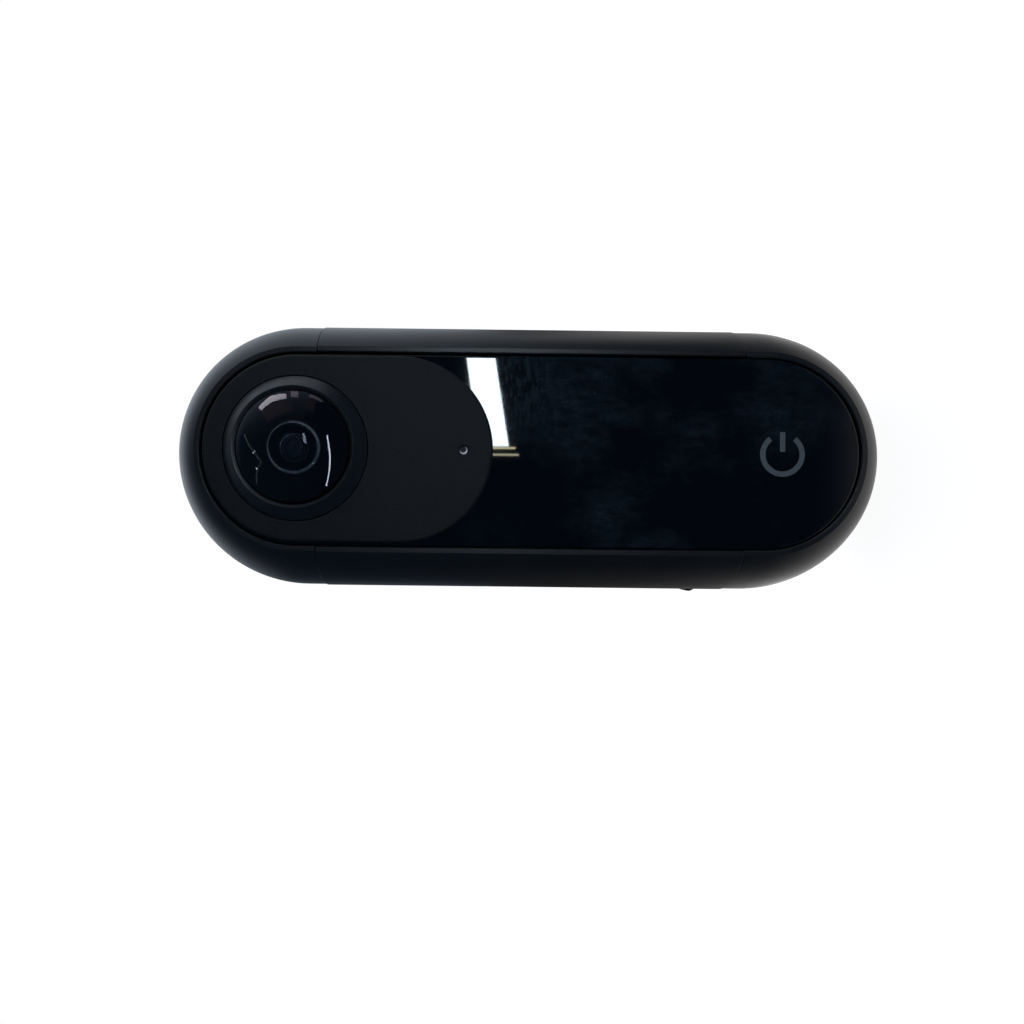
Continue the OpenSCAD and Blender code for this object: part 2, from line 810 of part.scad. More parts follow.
module indicator_board() color("darkgreen") {
  y = frame_y + frame_t + part_gap;
  box([-led_board_w / 2, y, indicator_z - led_w / 2 - bay_gap],
      [led_board_w / 2, y + led_board_t, indicator_z + 1.5 * led_w]);
  box([-led_w / 2, y + led_board_t, indicator_z - led_w / 2],
      [led_w / 2, y + led_board_t + led_t, indicator_z + led_w / 2]);
}
led_board_w = 6;

module tripod_insert() color("silver")
  difference() {
    union() {
      cylinder(r = insert_r, h = boss_top + part_gap);
      translate([0, 0, boss_top + part_gap])
        cylinder(r = insert_flange_r, h = frame_foot - boss_top - 4 * part_gap);
    }
    translate([0, 0, -1]) cylinder(r = thread_r, h = thread_l + 1);
  }

// Levels of the button stack, measured towards the rear
button_board_y = frame_y + frame_t + part_gap;
tact_y = button_board_y + led_board_t + part_gap;
tact_t = 1.5;
tact_top = tact_y + tact_t + 0.3;
stem_y = tact_top + button_travel + part_gap;
flange_y = 6.8;
flange_t = 0.5;

module shutter_button() color("gray")
  mirror([0, 1, 0]) translate([0, 0, button_z]) {
    front_disc(button_r, flange_y, glass_y - part_gap);
    front_disc(button_r + 2 * button_gap + 0.2, flange_y, flange_y + flange_t);
    front_disc(1.5, stem_y, flange_y + eps);
  }

module tact_switch() color("silver")
  translate([0, 0, button_z]) {
    box([-1.75, tact_y, -1.75], [1.75, tact_y + tact_t, 1.75]);
    mirror([0, 1, 0]) front_disc(0.8, tact_y + tact_t - eps, tact_top);
  }

module button_board() color("darkgreen")
  mirror([0, 1, 0]) translate([0, 0, button_z])
    front_disc(well_r - bay_gap, button_board_y, button_board_y + led_board_t);

// A flat flex that runs off as a bent strip; its path is drawn as [y, z]
module flex(x, w, points) {
  translate([x - w / 2, 0, 0]) rotate([90, 0, 90]) linear_extrude(w) polygon(points);
}

module battery_flex() color("darkorange") {
  y0 = battery_y + 1;
  z0 = battery_z + battery_l + part_gap;
  y1 = part_gap - board_y;
  flex(flex_x, battery_flex_w,
       [[y0, z0], [y0 + flex_t, z0], [y0 + flex_t, flex_z + flex_t], [y1, flex_z + flex_t],
        [y1, flex_z], [y0, flex_z]]);
}

module button_flex() color("darkorange") {
  y0 = button_board_y - part_gap / 2;
  y1 = -board_y - board_t / 2;
  z1 = board_foot - part_gap;
  flex(0, button_flex_w,
       [[y0, button_slot_z], [y0, button_slot_z + flex_t], [y1 + flex_t, button_slot_z + flex_t],
        [y1 + flex_t, z1], [y1, z1], [y1, button_slot_z]]);
}

module sensor_flexes() color("darkorange") {
  x = block_flat_x + part_gap + sensor_t;
  z0 = frame_top + part_gap;
  z1 = lens_z - sensor_board_l / 2 - part_gap;
  for (s = [0, 1]) mirror([s, 0, 0])
    box([x + flex_t, -board_y - board_t, z0], [x + 2 * flex_t, mic_t - board_y, z1]);
}

// A screw along Y with its head towards the front, its head's underside at the origin
module screw(l) {
  front_disc(screw_head_r, 0, screw_head_t);
  front_disc(screw_r - part_gap, -l, eps);
}

module board_screws() color("silver")
  for (p = posts) translate([p[0], -board_y - board_t, p[1]]) screw(board_screw_l);
board_screw_l = 2.4;

module lens_block_screws() color("silver")
  for (s = [-1, 1])
    translate([s * ear_x, frame_y + frame_t, ear_foot + ear_screw_in])
      mirror([0, 1, 0]) screw(ear_screw_l);

module guide_screws() color("silver")
  for (s = [-1, 1]) translate([guide_screw_x, guide_ear_y, plug_z + s * guide_screw_z]) screw(guide_screw_l);

// The plug mechanism: slider, cam plate and carrier, all at rest
blade_tip_x = 0.5 - rail_w;
blade_x = blade_tip_x + blade_l;
neck_x = blade_x + neck_l;
carrier_l = 3.8;
carrier_x = neck_x + carrier_l;
carrier_w = 9.6;
carrier_front = 1.4;
carrier_rear = 1.35;
cam_pin_x = neck_x + 2.4;
cam_y0 = 1.7;
cam_y1 = 2.3;
cam_slope = plug_travel / slider_travel;
guide_wall = 0.8;
guide_ear_y = 0.9;
guide_z = carrier_w / 2 + run_gap;
guide_reach = 3.3;
guide_mouth_x = neck_x - guide_reach;
guide_stop_x = carrier_x + run_gap + guide_wall;
guide_ear_w = 3.2;
guide_ear_l = 3.8;
guide_screw_x = neck_x + 0.7;
guide_screw_z = guide_z + 2.2;
guide_screw_l = 1.2;

// The holes of the guide's two screws
module guide_holes() {
  for (s = [-1, 1])
    translate([guide_screw_x, 0, plug_z + s * guide_screw_z])
      rotate([-90, 0, 0]) cylinder(r = screw_r, h = frame_y + frame_t + 1);
}

module plug_guide() color("ivory")
  difference() {
    union() {
      for (s = [0, 1]) translate([0, 0, plug_z]) mirror([0, 0, s]) {
        box([guide_mouth_x, -carrier_front, guide_z],
            [guide_stop_x, frame_y - part_gap, guide_z + guide_wall]);
        box([guide_screw_x - guide_ear_w / 2, guide_ear_y, guide_z],
            [guide_screw_x + guide_ear_w / 2, frame_y - part_gap, guide_z + guide_ear_l]);
      }
      box([carrier_x + run_gap, -carrier_front, plug_z - guide_z],
          [guide_stop_x, frame_y - part_gap, plug_z + guide_z]);
    }
    guide_holes();
  }

// The blade's outline seen along Y, rounded at its tip
module blade_outline() {
  r = 1.2;
  w = blade_w / 2;
  translate([r, -w]) square([blade_l - r + eps, blade_w]);
  translate([0, r - w]) square([r + eps, blade_w - 2 * r]);
  for (s = [-1, 1]) translate([r, s * (w - r)]) circle(r);
}

module phone_plug() color("silver")
  translate([0, 0, plug_z]) {
    translate([blade_tip_x, blade_t / 2, 0])
      rotate([90, 0, 0]) linear_extrude(blade_t) blade_outline();
    for (s = [-1, 1]) translate([blade_x, 0, s * (neck_w - neck_t) / 2])
      rotate([0, 90, 0]) cylinder(r = neck_t / 2, h = neck_l);
    box([blade_x, -neck_t / 2, (neck_t - neck_w) / 2], [neck_x, neck_t / 2, (neck_w - neck_t) / 2]);
  }

module plug_contacts() color("gold")
  for (side = [0, 1]) mirror([0, side, 0])
    for (i = [0 : 7])
      translate([blade_tip_x + 1.6, -blade_t / 2 - part_gap, plug_z + (i - 3.5) * contact_pitch - 0.2])
        cube([2.4, part_gap, 0.4]);
contact_pitch = 0.62;

module plug_carrier() color("dimgray")
  translate([0, 0, plug_z]) {
    box([neck_x, -carrier_front, -carrier_w / 2], [carrier_x, carrier_rear, carrier_w / 2]);
    translate([cam_pin_x, 0, 0]) front_disc(cam_pin_r, carrier_front - eps, cam_y1 + part_gap);
  }

// The thumb slider: a pill through the wall with one ridge across it
module slider_knob() color("gray")
  translate([0, 0, slider_z]) mirror([1, 0, 0]) {
    x0 = strip_x + strip_t;
    half = slider_l / 2 - slider_w / 2;
    for (s = [-1, 1]) translate([x0, 0, s * half])
      rotate([0, 90, 0]) cylinder(r = slider_w / 2, h = rail_w - knob_sink - x0);
    box([x0, -slider_w / 2, -half], [rail_w - knob_sink, slider_w / 2, half]);
    translate([rail_w + ridge_rise - ridge_r, slider_w / 2 - 0.1, 0])
      front_disc(ridge_r, 0, slider_w - 0.2);
  }
strip_margin = 3.4;
strip_x = half_w - strip_margin;
strip_t = 0.5;
knob_sink = 0.1;
ridge_r = 1;
ridge_rise = 0.35;

// The folded plate behind the slider: a strip that hides the slot and a cam that drives the pin
module slider_plate() color("silver")
  difference() {
    union() {
      box([-strip_x - strip_t, -cam_y1, strip_foot], [-strip_x, strip_rear, strip_top]);
      box([-strip_x - strip_t, -cam_y1, strip_top - strip_foot_l], [cam_arm_x, -cam_y0, cam_foot + 1]);
      box([cam_edge_x, -cam_y1, cam_foot], [cam_pin_x + 1.6, -cam_y0, plug_z + 2]);
    }
    cam_slot();
  }
strip_rear = 1.3;
strip_foot_l = 8;
strip_foot = slider_z - slider_l / 2 - run_gap - slider_travel;
strip_top = slider_z + slider_l / 2 + slider_travel + run_gap;
cam_arm_x = 2 - strip_x;
cam_edge_x = -strip_x - 1.1;
cam_foot = plug_z - slider_travel - 2;

// The oblique slot: the pin's path in the plate as the plate moves up
module cam_slot() {
  r = cam_pin_r + run_gap;
  w = r - slot_waist;
  run = sqrt(plug_travel * plug_travel + slider_travel * slider_travel);
  translate([cam_pin_x, 0, plug_z]) {
    front_disc(r, cam_y0 - 1, cam_y1 + 1);
    translate([-plug_travel, 0, -slider_travel]) front_disc(r, cam_y0 - 1, cam_y1 + 1);
    rotate([0, atan(cam_slope) + 180, 0]) box([-w, -cam_y1 - 1, 0], [w, 1 - cam_y0, run]);
  }
}
slot_waist = 0.02;

lens_end_cap();
foot_end_cap();
port_side_rail();
plug_side_rail();
front_glass();
rear_glass();
front_glass_tape();
rear_glass_tape();
front_lens_cover();
rear_lens_cover();
front_lens_ring();
rear_lens_ring();
front_dome_lens();
rear_dome_lens();
front_lens_barrel();
rear_lens_barrel();
front_inner_lens();
rear_inner_lens();
front_lens_gasket();
rear_lens_gasket();
front_prism();
rear_prism();
port_side_lens_cell();
plug_side_lens_cell();
port_side_relay_lens();
plug_side_relay_lens();
port_side_sensor();
plug_side_sensor();
lens_block();
front_indicator_window();
rear_indicator_window();
mid_frame();
main_board();
board_chips();
heat_spreader();
battery();
usb_port();
card_socket();
microphones();
antenna();
indicator_board();
tripod_insert();
shutter_button();
tact_switch();
button_board();
battery_flex();
sensor_flexes();
button_flex();
board_screws();
lens_block_screws();
guide_screws();
plug_guide();
phone_plug();
plug_contacts();
plug_carrier();
slider_knob();
slider_plate();
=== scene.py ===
"""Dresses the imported 360 degree camera with its finishes, its finer pieces and a plain studio."""

import json
import math

import bmesh
import bpy
from bpy.props import FloatProperty, FloatVectorProperty, PointerProperty
from mathutils import Matrix, Vector


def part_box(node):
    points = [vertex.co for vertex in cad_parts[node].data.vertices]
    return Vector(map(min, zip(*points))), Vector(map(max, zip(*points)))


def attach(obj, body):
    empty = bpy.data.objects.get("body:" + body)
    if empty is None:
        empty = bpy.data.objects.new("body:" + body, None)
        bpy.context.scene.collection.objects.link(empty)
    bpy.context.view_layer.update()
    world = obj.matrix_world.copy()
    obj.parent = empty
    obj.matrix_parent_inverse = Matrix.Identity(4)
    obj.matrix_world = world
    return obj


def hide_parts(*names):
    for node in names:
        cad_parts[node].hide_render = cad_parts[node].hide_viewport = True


bl_info = {
    "name": "Pocket 360 degree camera",
    "version": (1, 0, 0),
    "blender": (4, 5, 0),
    "location": "3D View > Sidebar > Pocket camera",
    "description": "Dresses the packed model of a pocket 360 degree camera",
    "category": "Object",
}

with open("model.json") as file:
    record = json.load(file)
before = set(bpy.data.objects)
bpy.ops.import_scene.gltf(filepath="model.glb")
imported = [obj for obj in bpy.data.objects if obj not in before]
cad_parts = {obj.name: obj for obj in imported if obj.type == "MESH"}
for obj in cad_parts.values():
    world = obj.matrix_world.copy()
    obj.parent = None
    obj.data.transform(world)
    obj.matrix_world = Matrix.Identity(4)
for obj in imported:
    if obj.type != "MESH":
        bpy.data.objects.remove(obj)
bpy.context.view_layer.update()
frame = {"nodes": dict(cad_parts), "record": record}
NODES = frame["nodes"]
MM = 0.001
WELD = 1e-7  # vertices nearer than this are one
BROAD_FACE = 4e-6  # square metres
SQUARE_ON = 0.99999  # a part of a normal above this means that it runs along an axis
SIDES = (("front", 1), ("rear", -1))  # the sign turns depths outward


def middle(node):
    """The middle of a CAD node's box."""
    low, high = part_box(node)
    return (low + high) / 2


LENS_Z = middle("front_dome_lens").z
BUTTON_Z = middle("shutter_button").z
INDICATOR_Z = middle("front_indicator_window").z
GLASS_Y = -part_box("front_glass")[0].y


def add(name, data):
    """Puts an object of this data into the scene."""
    made = bpy.data.objects.new(name, data)
    bpy.context.scene.collection.objects.link(made)
    return made


def evaluated(piece):
    """The plain mesh of an object with its modifiers."""
    ready = piece.evaluated_get(bpy.context.evaluated_depsgraph_get())
    return bpy.data.meshes.new_from_object(ready)


class Num:
    """A value that nodes work out. An expression on it adds its Math nodes."""

    def __init__(self, nodes, socket):
        self.nodes = nodes
        self.socket = socket

    def of(self, name):
        """Another output of the node that this value comes from."""
        return Num(self.nodes, self.socket.node.outputs[name])

    def math(self, operation, *values):
        return self.nodes.node("ShaderNodeMath", {"operation": operation}, dict(enumerate(values)))

    def __add__(self, other):
        return self.math("ADD", self, other)

    __radd__ = __add__

    def __sub__(self, other):
        return self.math("SUBTRACT", self, other)

    def __rsub__(self, other):
        return self.math("SUBTRACT", other, self)

    def __mul__(self, other):
        return self.math("MULTIPLY", self, other)

    __rmul__ = __mul__

    def __truediv__(self, other):
        return self.math("DIVIDE", self, other)

    def one(self, operation):
        """A Math node that needs no other value."""
        return self.math(operation, self)

    def waves(self, length):
        """Swings between -1 and 1 once in every length."""
        return (self * (2 * math.pi / length)).one("SINE")

    def below(self, edge, soft=0.0):
        """1 where the value is under the edge, 0 above it."""
        if soft:
            return self.ramp(edge + soft, edge - soft)
        return self.math("LESS_THAN", self, edge)

    def ramp(self, low, high, to_low=0.0, to_high=1.0):
        """Runs the range from low to high over to_low to to_high, held at both ends."""
        return self.nodes.node(
            "ShaderNodeMapRange",
            {"clamp": True},
            {"Value": self, "From Min": low, "From Max": high, "To Min": to_low, "To Max": to_high},
        )

    def spread(self, low, high):
        """Spreads the usual values of a noise over low to high."""
        return self.ramp(0.3, 0.7, low, high)


class Nodes:
    """A node tree that grows by one method."""

    def __init__(self, tree):
        self.tree = tree
        self.tree.nodes.clear()

    def node(self, kind, settings=None, inputs=None, output=0):
        """Adds one node: its settings first, then the values or links of its sockets."""
        made = self.tree.nodes.new(kind)
        for name, value in (settings or {}).items():
            setattr(made, name, value)
        for name, value in (inputs or {}).items():
            socket = made.inputs[name]
            if isinstance(value, Num):
                self.tree.links.new(value.socket, socket)
            elif socket.is_multi_input:
                for one in value:
                    self.tree.links.new(one.socket, socket)
            elif hasattr(socket.default_value,
                         "__len__") and len(value) < len(socket.default_value):
                socket.default_value = (*value, 1)
            else:
                socket.default_value = value
        return Num(self, made.outputs[output]) if len(made.outputs) else None

    def vector(self, x=0.0, y=0.0, z=0.0):
        """A vector from three values."""
        return self.node("ShaderNodeCombineXYZ", inputs={0: x, 1: y, 2: z})


class Finish(Nodes):
    """A material and the nodes that make it."""

    def __init__(self, name, world=None):
        self.material = world or bpy.data.materials.new(name)
        self.material.use_nodes = True
        super().__init__(self.material.node_tree)

    def place(self):
        """The place on the piece, in metres."""
        return self.node("ShaderNodeTexCoord", output="Object")

    def axes(self, vector=None):
        """The three coordinates of a place, each as a value."""
        split = self.node("ShaderNodeSeparateXYZ", inputs={0: vector or self.place()})
        return [split.of(axis) for axis in "XYZ"]

    def around(self, x0, z0):
        """The distance from the line along y at x0, z0."""
        x, y, z = self.axes()
        across, up = x - x0, z - z0
        return (across * across + up * up).one("SQRT")

    def noise(self, size, detail=2.0, rough=0.5, stretch=(1, 1, 1), seed=0.0):
        """Cloudy noise whose blobs are about as large as size, in metres."""
        where = self.node(
            "ShaderNodeMapping",
            inputs={"Vector": self.place(), "Scale": [s / size for s in stretch],
                    "Location": (seed, seed * 0.7, seed * 1.3)},
        )
        return self.node(
            "ShaderNodeTexNoise",
            inputs={"Vector": where, "Scale": 1.0, "Detail": detail, "Roughness": rough},
        )

    def grains(self, size, seed=0.0):
        """Distance to the nearest of many scattered points, about size apart."""
        where = self.node(
            "ShaderNodeMapping",
            inputs={"Vector": self.place(), "Scale": [1 / size] * 3,
                    "Location": (seed, seed, seed)},
        )
        return self.node("ShaderNodeTexVoronoi", inputs={"Vector": where, "Scale": 1.0})

    def blend(self, factor, low, high):
        """Mixes two colours."""
        return self.node(
            "ShaderNodeMix", {"data_type": "RGBA"}, {0: factor, 6: low, 7: high}, output=2
        )

    def relief(self, height, depth, strength=1.0, normal=None):
        """A normal from a height between 0 and 1 that stands for a depth in metres."""
        inputs = {"Height": height, "Distance": depth, "Strength": strength}
        if normal:
            inputs["Normal"] = normal
        return self.node("ShaderNodeBump", inputs=inputs)

    def soft_edge(self, radius):
        """A normal that rounds off every sharp edge."""
        return self.node("ShaderNodeBevel", {"samples": 6}, {"Radius": radius})

    def surface(self, **sockets):
        """The shader itself. Names of sockets are written with _ for a space."""
        inputs = {name.replace("_", " "): value for name, value in sockets.items()}
        shader = self.node("ShaderNodeBsdfPrincipled", inputs=inputs)
        self.show(shader)
        return self

    def show(self, shader):
        world = isinstance(self.material, bpy.types.World)
        self.node("ShaderNodeOutputWorld" if world else "ShaderNodeOutputMaterial",
                  inputs={"Surface": shader})


class Shape(Nodes):
    """A Geometry Nodes tree with named sizes that sets its shape on every given point."""

    def __init__(self, name, *sizes):
        super().__init__(bpy.data.node_groups.new(name, "GeometryNodeTree"))
        sockets = self.tree.interface
        sockets.new_socket("Mesh", in_out="OUTPUT", socket_type="NodeSocketGeometry")
        sockets.new_socket("Points", in_out="INPUT", socket_type="NodeSocketGeometry")
        for size in (*sizes, "Turn"):
            kind = "NodeSocketInt" if size == "Count" else "NodeSocketFloat"
            sockets.new_socket(size, in_out="INPUT", socket_type=kind)
        self.given = self.node("NodeGroupInput")
        self.sizes = [self.given.of(size) for size in sizes]

    def block(self, x, y, z, rise=0.0):
        """A block of this size whose foot stands at a height."""
        made = self.node("GeometryNodeMeshCube", inputs={"Size": self.vector(x, y, z)})
        return self.moved(made, self.vector(z=z / 2 + rise))

    def moved(self, mesh, by=(0, 0, 0), turn=(0, 0, 0)):
        return self.node("GeometryNodeTransform",
                         inputs={"Geometry": mesh, "Translation": by, "Rotation": turn})

    def upper(self):
        """Picks the faces that look up."""
        normal = self.node("GeometryNodeInputNormal")
        facing = self.node("ShaderNodeSeparateXYZ", inputs={0: normal}).of("Z")
        return facing.math("GREATER_THAN", facing, 0.5)

    def grow(self, mesh, face, length, scale=1.0):
        """Pulls a face out and scales its end. Gives the mesh and the end's selection."""
        longer = self.node("GeometryNodeExtrudeMesh", {"mode": "FACES"},
                           {"Mesh": mesh, "Selection": face, "Offset Scale": length})
        end = longer.of("Top")
        return self.node("GeometryNodeScaleElements",
                         inputs={"Geometry": longer, "Selection": end, "Scale": scale}), end

    def row(self, shape, count, start, step):
        """A row of one shape."""
        line = self.node("GeometryNodeMeshLine", {"mode": "OFFSET"},
                         {"Count": count, "Start Location": start, "Offset": step})
        return self.node("GeometryNodeInstanceOnPoints", inputs={"Points": line, "Instance": shape})

    def join(self, *meshes):
        return self.node("GeometryNodeJoinGeometry", inputs={"Geometry": meshes})

    def done(self, shape, look):
        """Turns the shape, sets it on the given points and paints it."""
        turned = self.moved(shape, turn=self.vector(self.given.of("Turn")))
        placed = self.node("GeometryNodeInstanceOnPoints",
                           inputs={"Points": self.given.of("Points"), "Instance": turned})
        real = self.node("GeometryNodeRealizeInstances", inputs={"Geometry": placed})
        self.node("NodeGroupOutput", inputs={
            "Mesh": self.node("GeometryNodeSetMaterial",
                              inputs={"Geometry": real, "Material": look})})
        return self

    def on(self, points, **sizes):
        """The plain mesh of this shape on some points. Points and sizes are in millimetres."""
        mesh = bpy.data.meshes.new(self.tree.name)
        mesh.from_pydata([[c * MM for c in point] for point in points], [], [])
        carrier = add(self.tree.name, mesh)
        step = carrier.modifiers.new(self.tree.name, "NODES")
        step.node_group = self.tree
        for item in self.tree.interface.items_tree:
            name = item.name.lower().replace(" ", "_")
            if item.in_out == "INPUT" and name in sizes:
                whole = name in ("count", "turn")
                step[item.identifier] = sizes[name] if whole else sizes[name] * MM
        made = evaluated(carrier)
        carrier.modifiers.remove(step)
        bpy.data.objects.remove(carrier)
        bpy.data.meshes.remove(mesh)
        return made


FINISHES = {}


def finish(maker):
    """Keeps one material for each finish, made when it is first asked for."""
    def kept():
        if maker.__name__ not in FINISHES:
            FINISHES[maker.__name__] = maker(Finish(maker.__name__)).material
        return FINISHES[maker.__name__]
    kept.__name__ = maker.__name__
    return kept


def looks():
    return bpy.context.scene.camera_looks


@finish
def satin_band(f):
    """Fine blasted and painted metal, a little uneven in its sheen."""
    cloud = f.noise(9 * MM, 3)
    grain = f.noise(0.09 * MM, 2, 0.6)
    colour = tuple(looks().band_colour)
    dark = tuple(c * 0.86 for c in colour)
    return f.surface(
        Base_Color=f.blend(cloud.ramp(0.35, 0.65), dark, colour),
        Roughness=cloud.spread(0.36, 0.42) + grain.spread(-0.03, 0.03),
        Normal=f.relief(grain, 0.004 * MM, 0.5, f.soft_edge(0.12 * MM)),
        IOR=1.5,
    )


@finish
def black_glass(f):
    """Polished black glass with faint wiped smears and a few specks of dust."""
    smear = f.noise(14 * MM, 4, 0.62, (1, 1, 0.45))
    streak = f.noise(1.1 * MM, 3, 0.7, (1, 1, 0.12), 3.0)
    wiped = smear.ramp(0.5, 0.72) * streak.ramp(0.4, 0.7)
    dust = f.grains(1.6 * MM, 5.0).below(0.035, 0.01) * f.noise(6 * MM, 1, seed=8.0).ramp(0.5, 0.6)
    deep = tuple(looks().glass_colour)
    x, y, z = f.axes()
    spot = f.around(9 * MM, 50 * MM).ramp(8.5 * MM, 2 * MM)
    thread = f.noise(0.7 * MM, 4, 0.75, (0.35, 1, 1), 6.0).ramp(0.42, 0.66)
    blot = f.noise(13 * MM, 5, 0.62, (1, 1, 0.7), 11.0).ramp(0.46, 0.62) * z.ramp(58 * MM, 40 * MM)
    rub = f.noise(0.9 * MM, 4, 0.8, (1, 1, 0.5), 4.0).ramp(0.35, 0.65, 0.2, 1.0)
    smear_mask = spot * thread
    hazed = f.blend(smear_mask + blot * rub * (1 - smear_mask) * 0.8, deep, (0.018, 0.028, 0.035))
    return f.surface(
        Base_Color=f.blend(dust * 0.5, hazed, (0.09, 0.095, 0.1)),
        Roughness=0.025 + wiped * 0.05 + dust * 0.3,
        Normal=f.relief(f.noise(22 * MM, 1, seed=2.0), 0.01 * MM, 0.25, f.soft_edge(0.1 * MM)),
        IOR=1.5,
    )


@finish
def grained_cover(f):
    """Matt moulding with a fine spark-eroded grain."""
    grain = f.noise(0.22 * MM, 3, 0.75)
    speck = f.grains(0.24 * MM)
    cloud = f.noise(7 * MM, 2)
    colour = tuple(looks().cover_colour)
    dark = tuple(c * 0.1 for c in colour)
    light = tuple(c * 1.7 for c in colour)
    return f.surface(
        Base_Color=f.blend(grain.ramp(0.38, 0.62) * 0.8 + cloud * 0.2, dark, light),
        Roughness=0.58 + grain.ramp(0.35, 0.65, -0.12, 0.12),
        Normal=f.relief(grain * 0.6 + speck * 0.4, 0.06 * MM, 1.0, f.soft_edge(0.08 * MM)),
        IOR=1.4,
    )


@finish
def turned_ring(f):
    """Black anodised ring with the fine grooves that its turning left."""
    groove = f.around(0, LENS_Z).waves(0.09 * MM)
    wander = f.noise(1.5 * MM, 3)
    return f.surface(
        Base_Color=f.blend(wander, (0.005, 0.0068, 0.0088), (0.008, 0.0102, 0.0128)),
        Roughness=wander.spread(0.3, 0.4) + groove * 0.02,
        Normal=f.relief(groove, 0.0012 * MM, 0.5, f.soft_edge(0.1 * MM)),
        IOR=1.54,
    )


def coated_glass(f, tint, ior, film):
    dust = f.grains(1.1 * MM, 2.0).below(0.03) * f.noise(4 * MM, 1).below(0.5)
    return f.surface(
        Base_Color=tint,
        Roughness=dust * 0.2,
        Transmission_Weight=1.0,
        IOR=ior,
        Specular_Tint=film,
    )


@finish
def dome_glass(f):
    """Front element with a bluish coating."""
    return coated_glass(f, (0.82, 0.85, 0.92), 1.55, (0.8, 0.85, 1.0, 1))


@finish
def inner_glass(f):
    """Second element with an amber coating."""
    return coated_glass(f, (0.86, 0.8, 0.72), 1.5, (1.0, 0.78, 0.5, 1))


@finish
def window_plastic(f):
    """Smoked light pipe with a painted highlight: a bright crescent painted on one side of its rim.
    """
    cloud = f.noise(0.5 * MM, 2)
    # Painted highlight: a near-white crescent on one side of the rim, where light would fall on the
    # hole's chamfer.
    painted_crescent_highlight = f.around(0.13 * MM, INDICATOR_Z + 0.1 * MM).ramp(0.4 * MM, 0.48 * MM)
    return f.surface(
        Base_Color=f.blend(painted_crescent_highlight, f.blend(cloud, (0.03, 0.032, 0.034), (0.06, 0.06, 0.062)),
                           (0.95, 0.95, 0.92)),
        Roughness=cloud.spread(0.12, 0.2),
        Coat_Weight=painted_crescent_highlight * 0.5,
        IOR=1.55,
    )


def grainy(f, size, colours, rough, depth, strength=0.5, edge=0.0, detail=3, **more):
    """A surface whose colour, sheen and relief follow one fine noise."""
    grain = f.noise(size, detail)
    normal = f.soft_edge(edge) if edge else None
    return f.surface(Base_Color=f.blend(grain, *colours), Roughness=grain.spread(*rough),
                     Normal=f.relief(grain, depth, strength, normal), **more)


@finish
def black_metal(f):
    """Blackened aluminium that throws no light back into the lens."""
    colours = (0.0012, 0.0014, 0.0026), (0.003, 0.0032, 0.005)
    return grainy(f, 2 * MM, colours, (0.5, 0.62), 0.004 * MM, 0.3, detail=4, IOR=1.3)


@finish
def edge_black(f):
    """Black lacquer on the ground edge of a lens, pale at the chamfer of its hollow: partly bare
    ground glass and partly a painted highlight of the bright ring round the hollow.
    """
    wander = f.noise(1.5 * MM, 3)
    # Pale grey ring at the hollow's chamfer: bare ground glass, and partly a painted highlight.
    ground_chamfer_and_highlight = f.around(0, LENS_Z).ramp(2.99 * MM, 2.79 * MM)
    black = f.blend(wander, (0.001, 0.0011, 0.0018), (0.0022, 0.0024, 0.0036))
    return f.surface(
        Base_Color=f.blend(ground_chamfer_and_highlight, black, (0.5, 0.5, 0.5)),
        Roughness=wander.spread(0.6, 0.7),
        IOR=1.2,
    )


@finish
def locking_metal(f):
    """Locking ring whose turned edge catches the light."""
    radius = f.around(0, LENS_Z)
    groove = radius.waves(0.07 * MM)
    wander = f.noise(0.8 * MM, 3)
    edge = radius.below(2.72 * MM, 0.06 * MM)
    return f.surface(
        Base_Color=f.blend(edge, (0.003, 0.003, 0.004),
                           f.blend(wander, (0.3, 0.3, 0.31), (0.4, 0.4, 0.41))),
        Metallic=edge,
        Roughness=wander.spread(0.45, 0.55) - edge * 0.1,
        Normal=f.relief(groove, 0.001 * MM, 0.5),
    )


@finish
def mark_ink(f):
    """Grey ink under the glass."""
    grain = f.noise(0.15 * MM, 2)
    return f.surface(
        Base_Color=f.blend(grain, (0.11, 0.12, 0.13), (0.14, 0.155, 0.165)),
        Roughness=grain.spread(0.08, 0.14),
    )


def bare_metal(f, dark, bright, low, high, scale, edge=0.08 * MM):
    """Metal whose colour and polish wander a little."""
    wander = f.noise(scale, 4)
    scratch = f.noise(0.25 * MM, 2, 0.6, (1, 1, 0.08))
    return f.surface(
        Base_Color=f.blend(wander.ramp(0.3, 0.7), dark, bright),
        Metallic=1.0,
        Roughness=wander.spread(low, high) + scratch.spread(-0.03, 0.03),
        Normal=f.relief(scratch, 0.003 * MM, 0.4, f.soft_edge(edge)),
    )


@finish
def cast_alloy(f):
    """Die-cast alloy."""
    return bare_metal(f, (0.42, 0.42, 0.43), (0.56, 0.56, 0.57), 0.42, 0.55, 3 * MM)


@finish
def bright_steel(f):
    """Stamped steel."""
    return bare_metal(f, (0.5, 0.5, 0.5), (0.66, 0.66, 0.65), 0.24, 0.36, 2 * MM)


@finish
def nickel_plate(f):
    """Nickel plating."""
    return bare_metal(f, (0.56, 0.55, 0.52), (0.7, 0.68, 0.64), 0.16, 0.28, 1.5 * MM)


@finish
def gold_plate(f):
    """Gold plating on contacts."""
    return bare_metal(f, (0.72, 0.5, 0.2), (0.86, 0.62, 0.28), 0.2, 0.3, 0.6 * MM, 0.02 * MM)


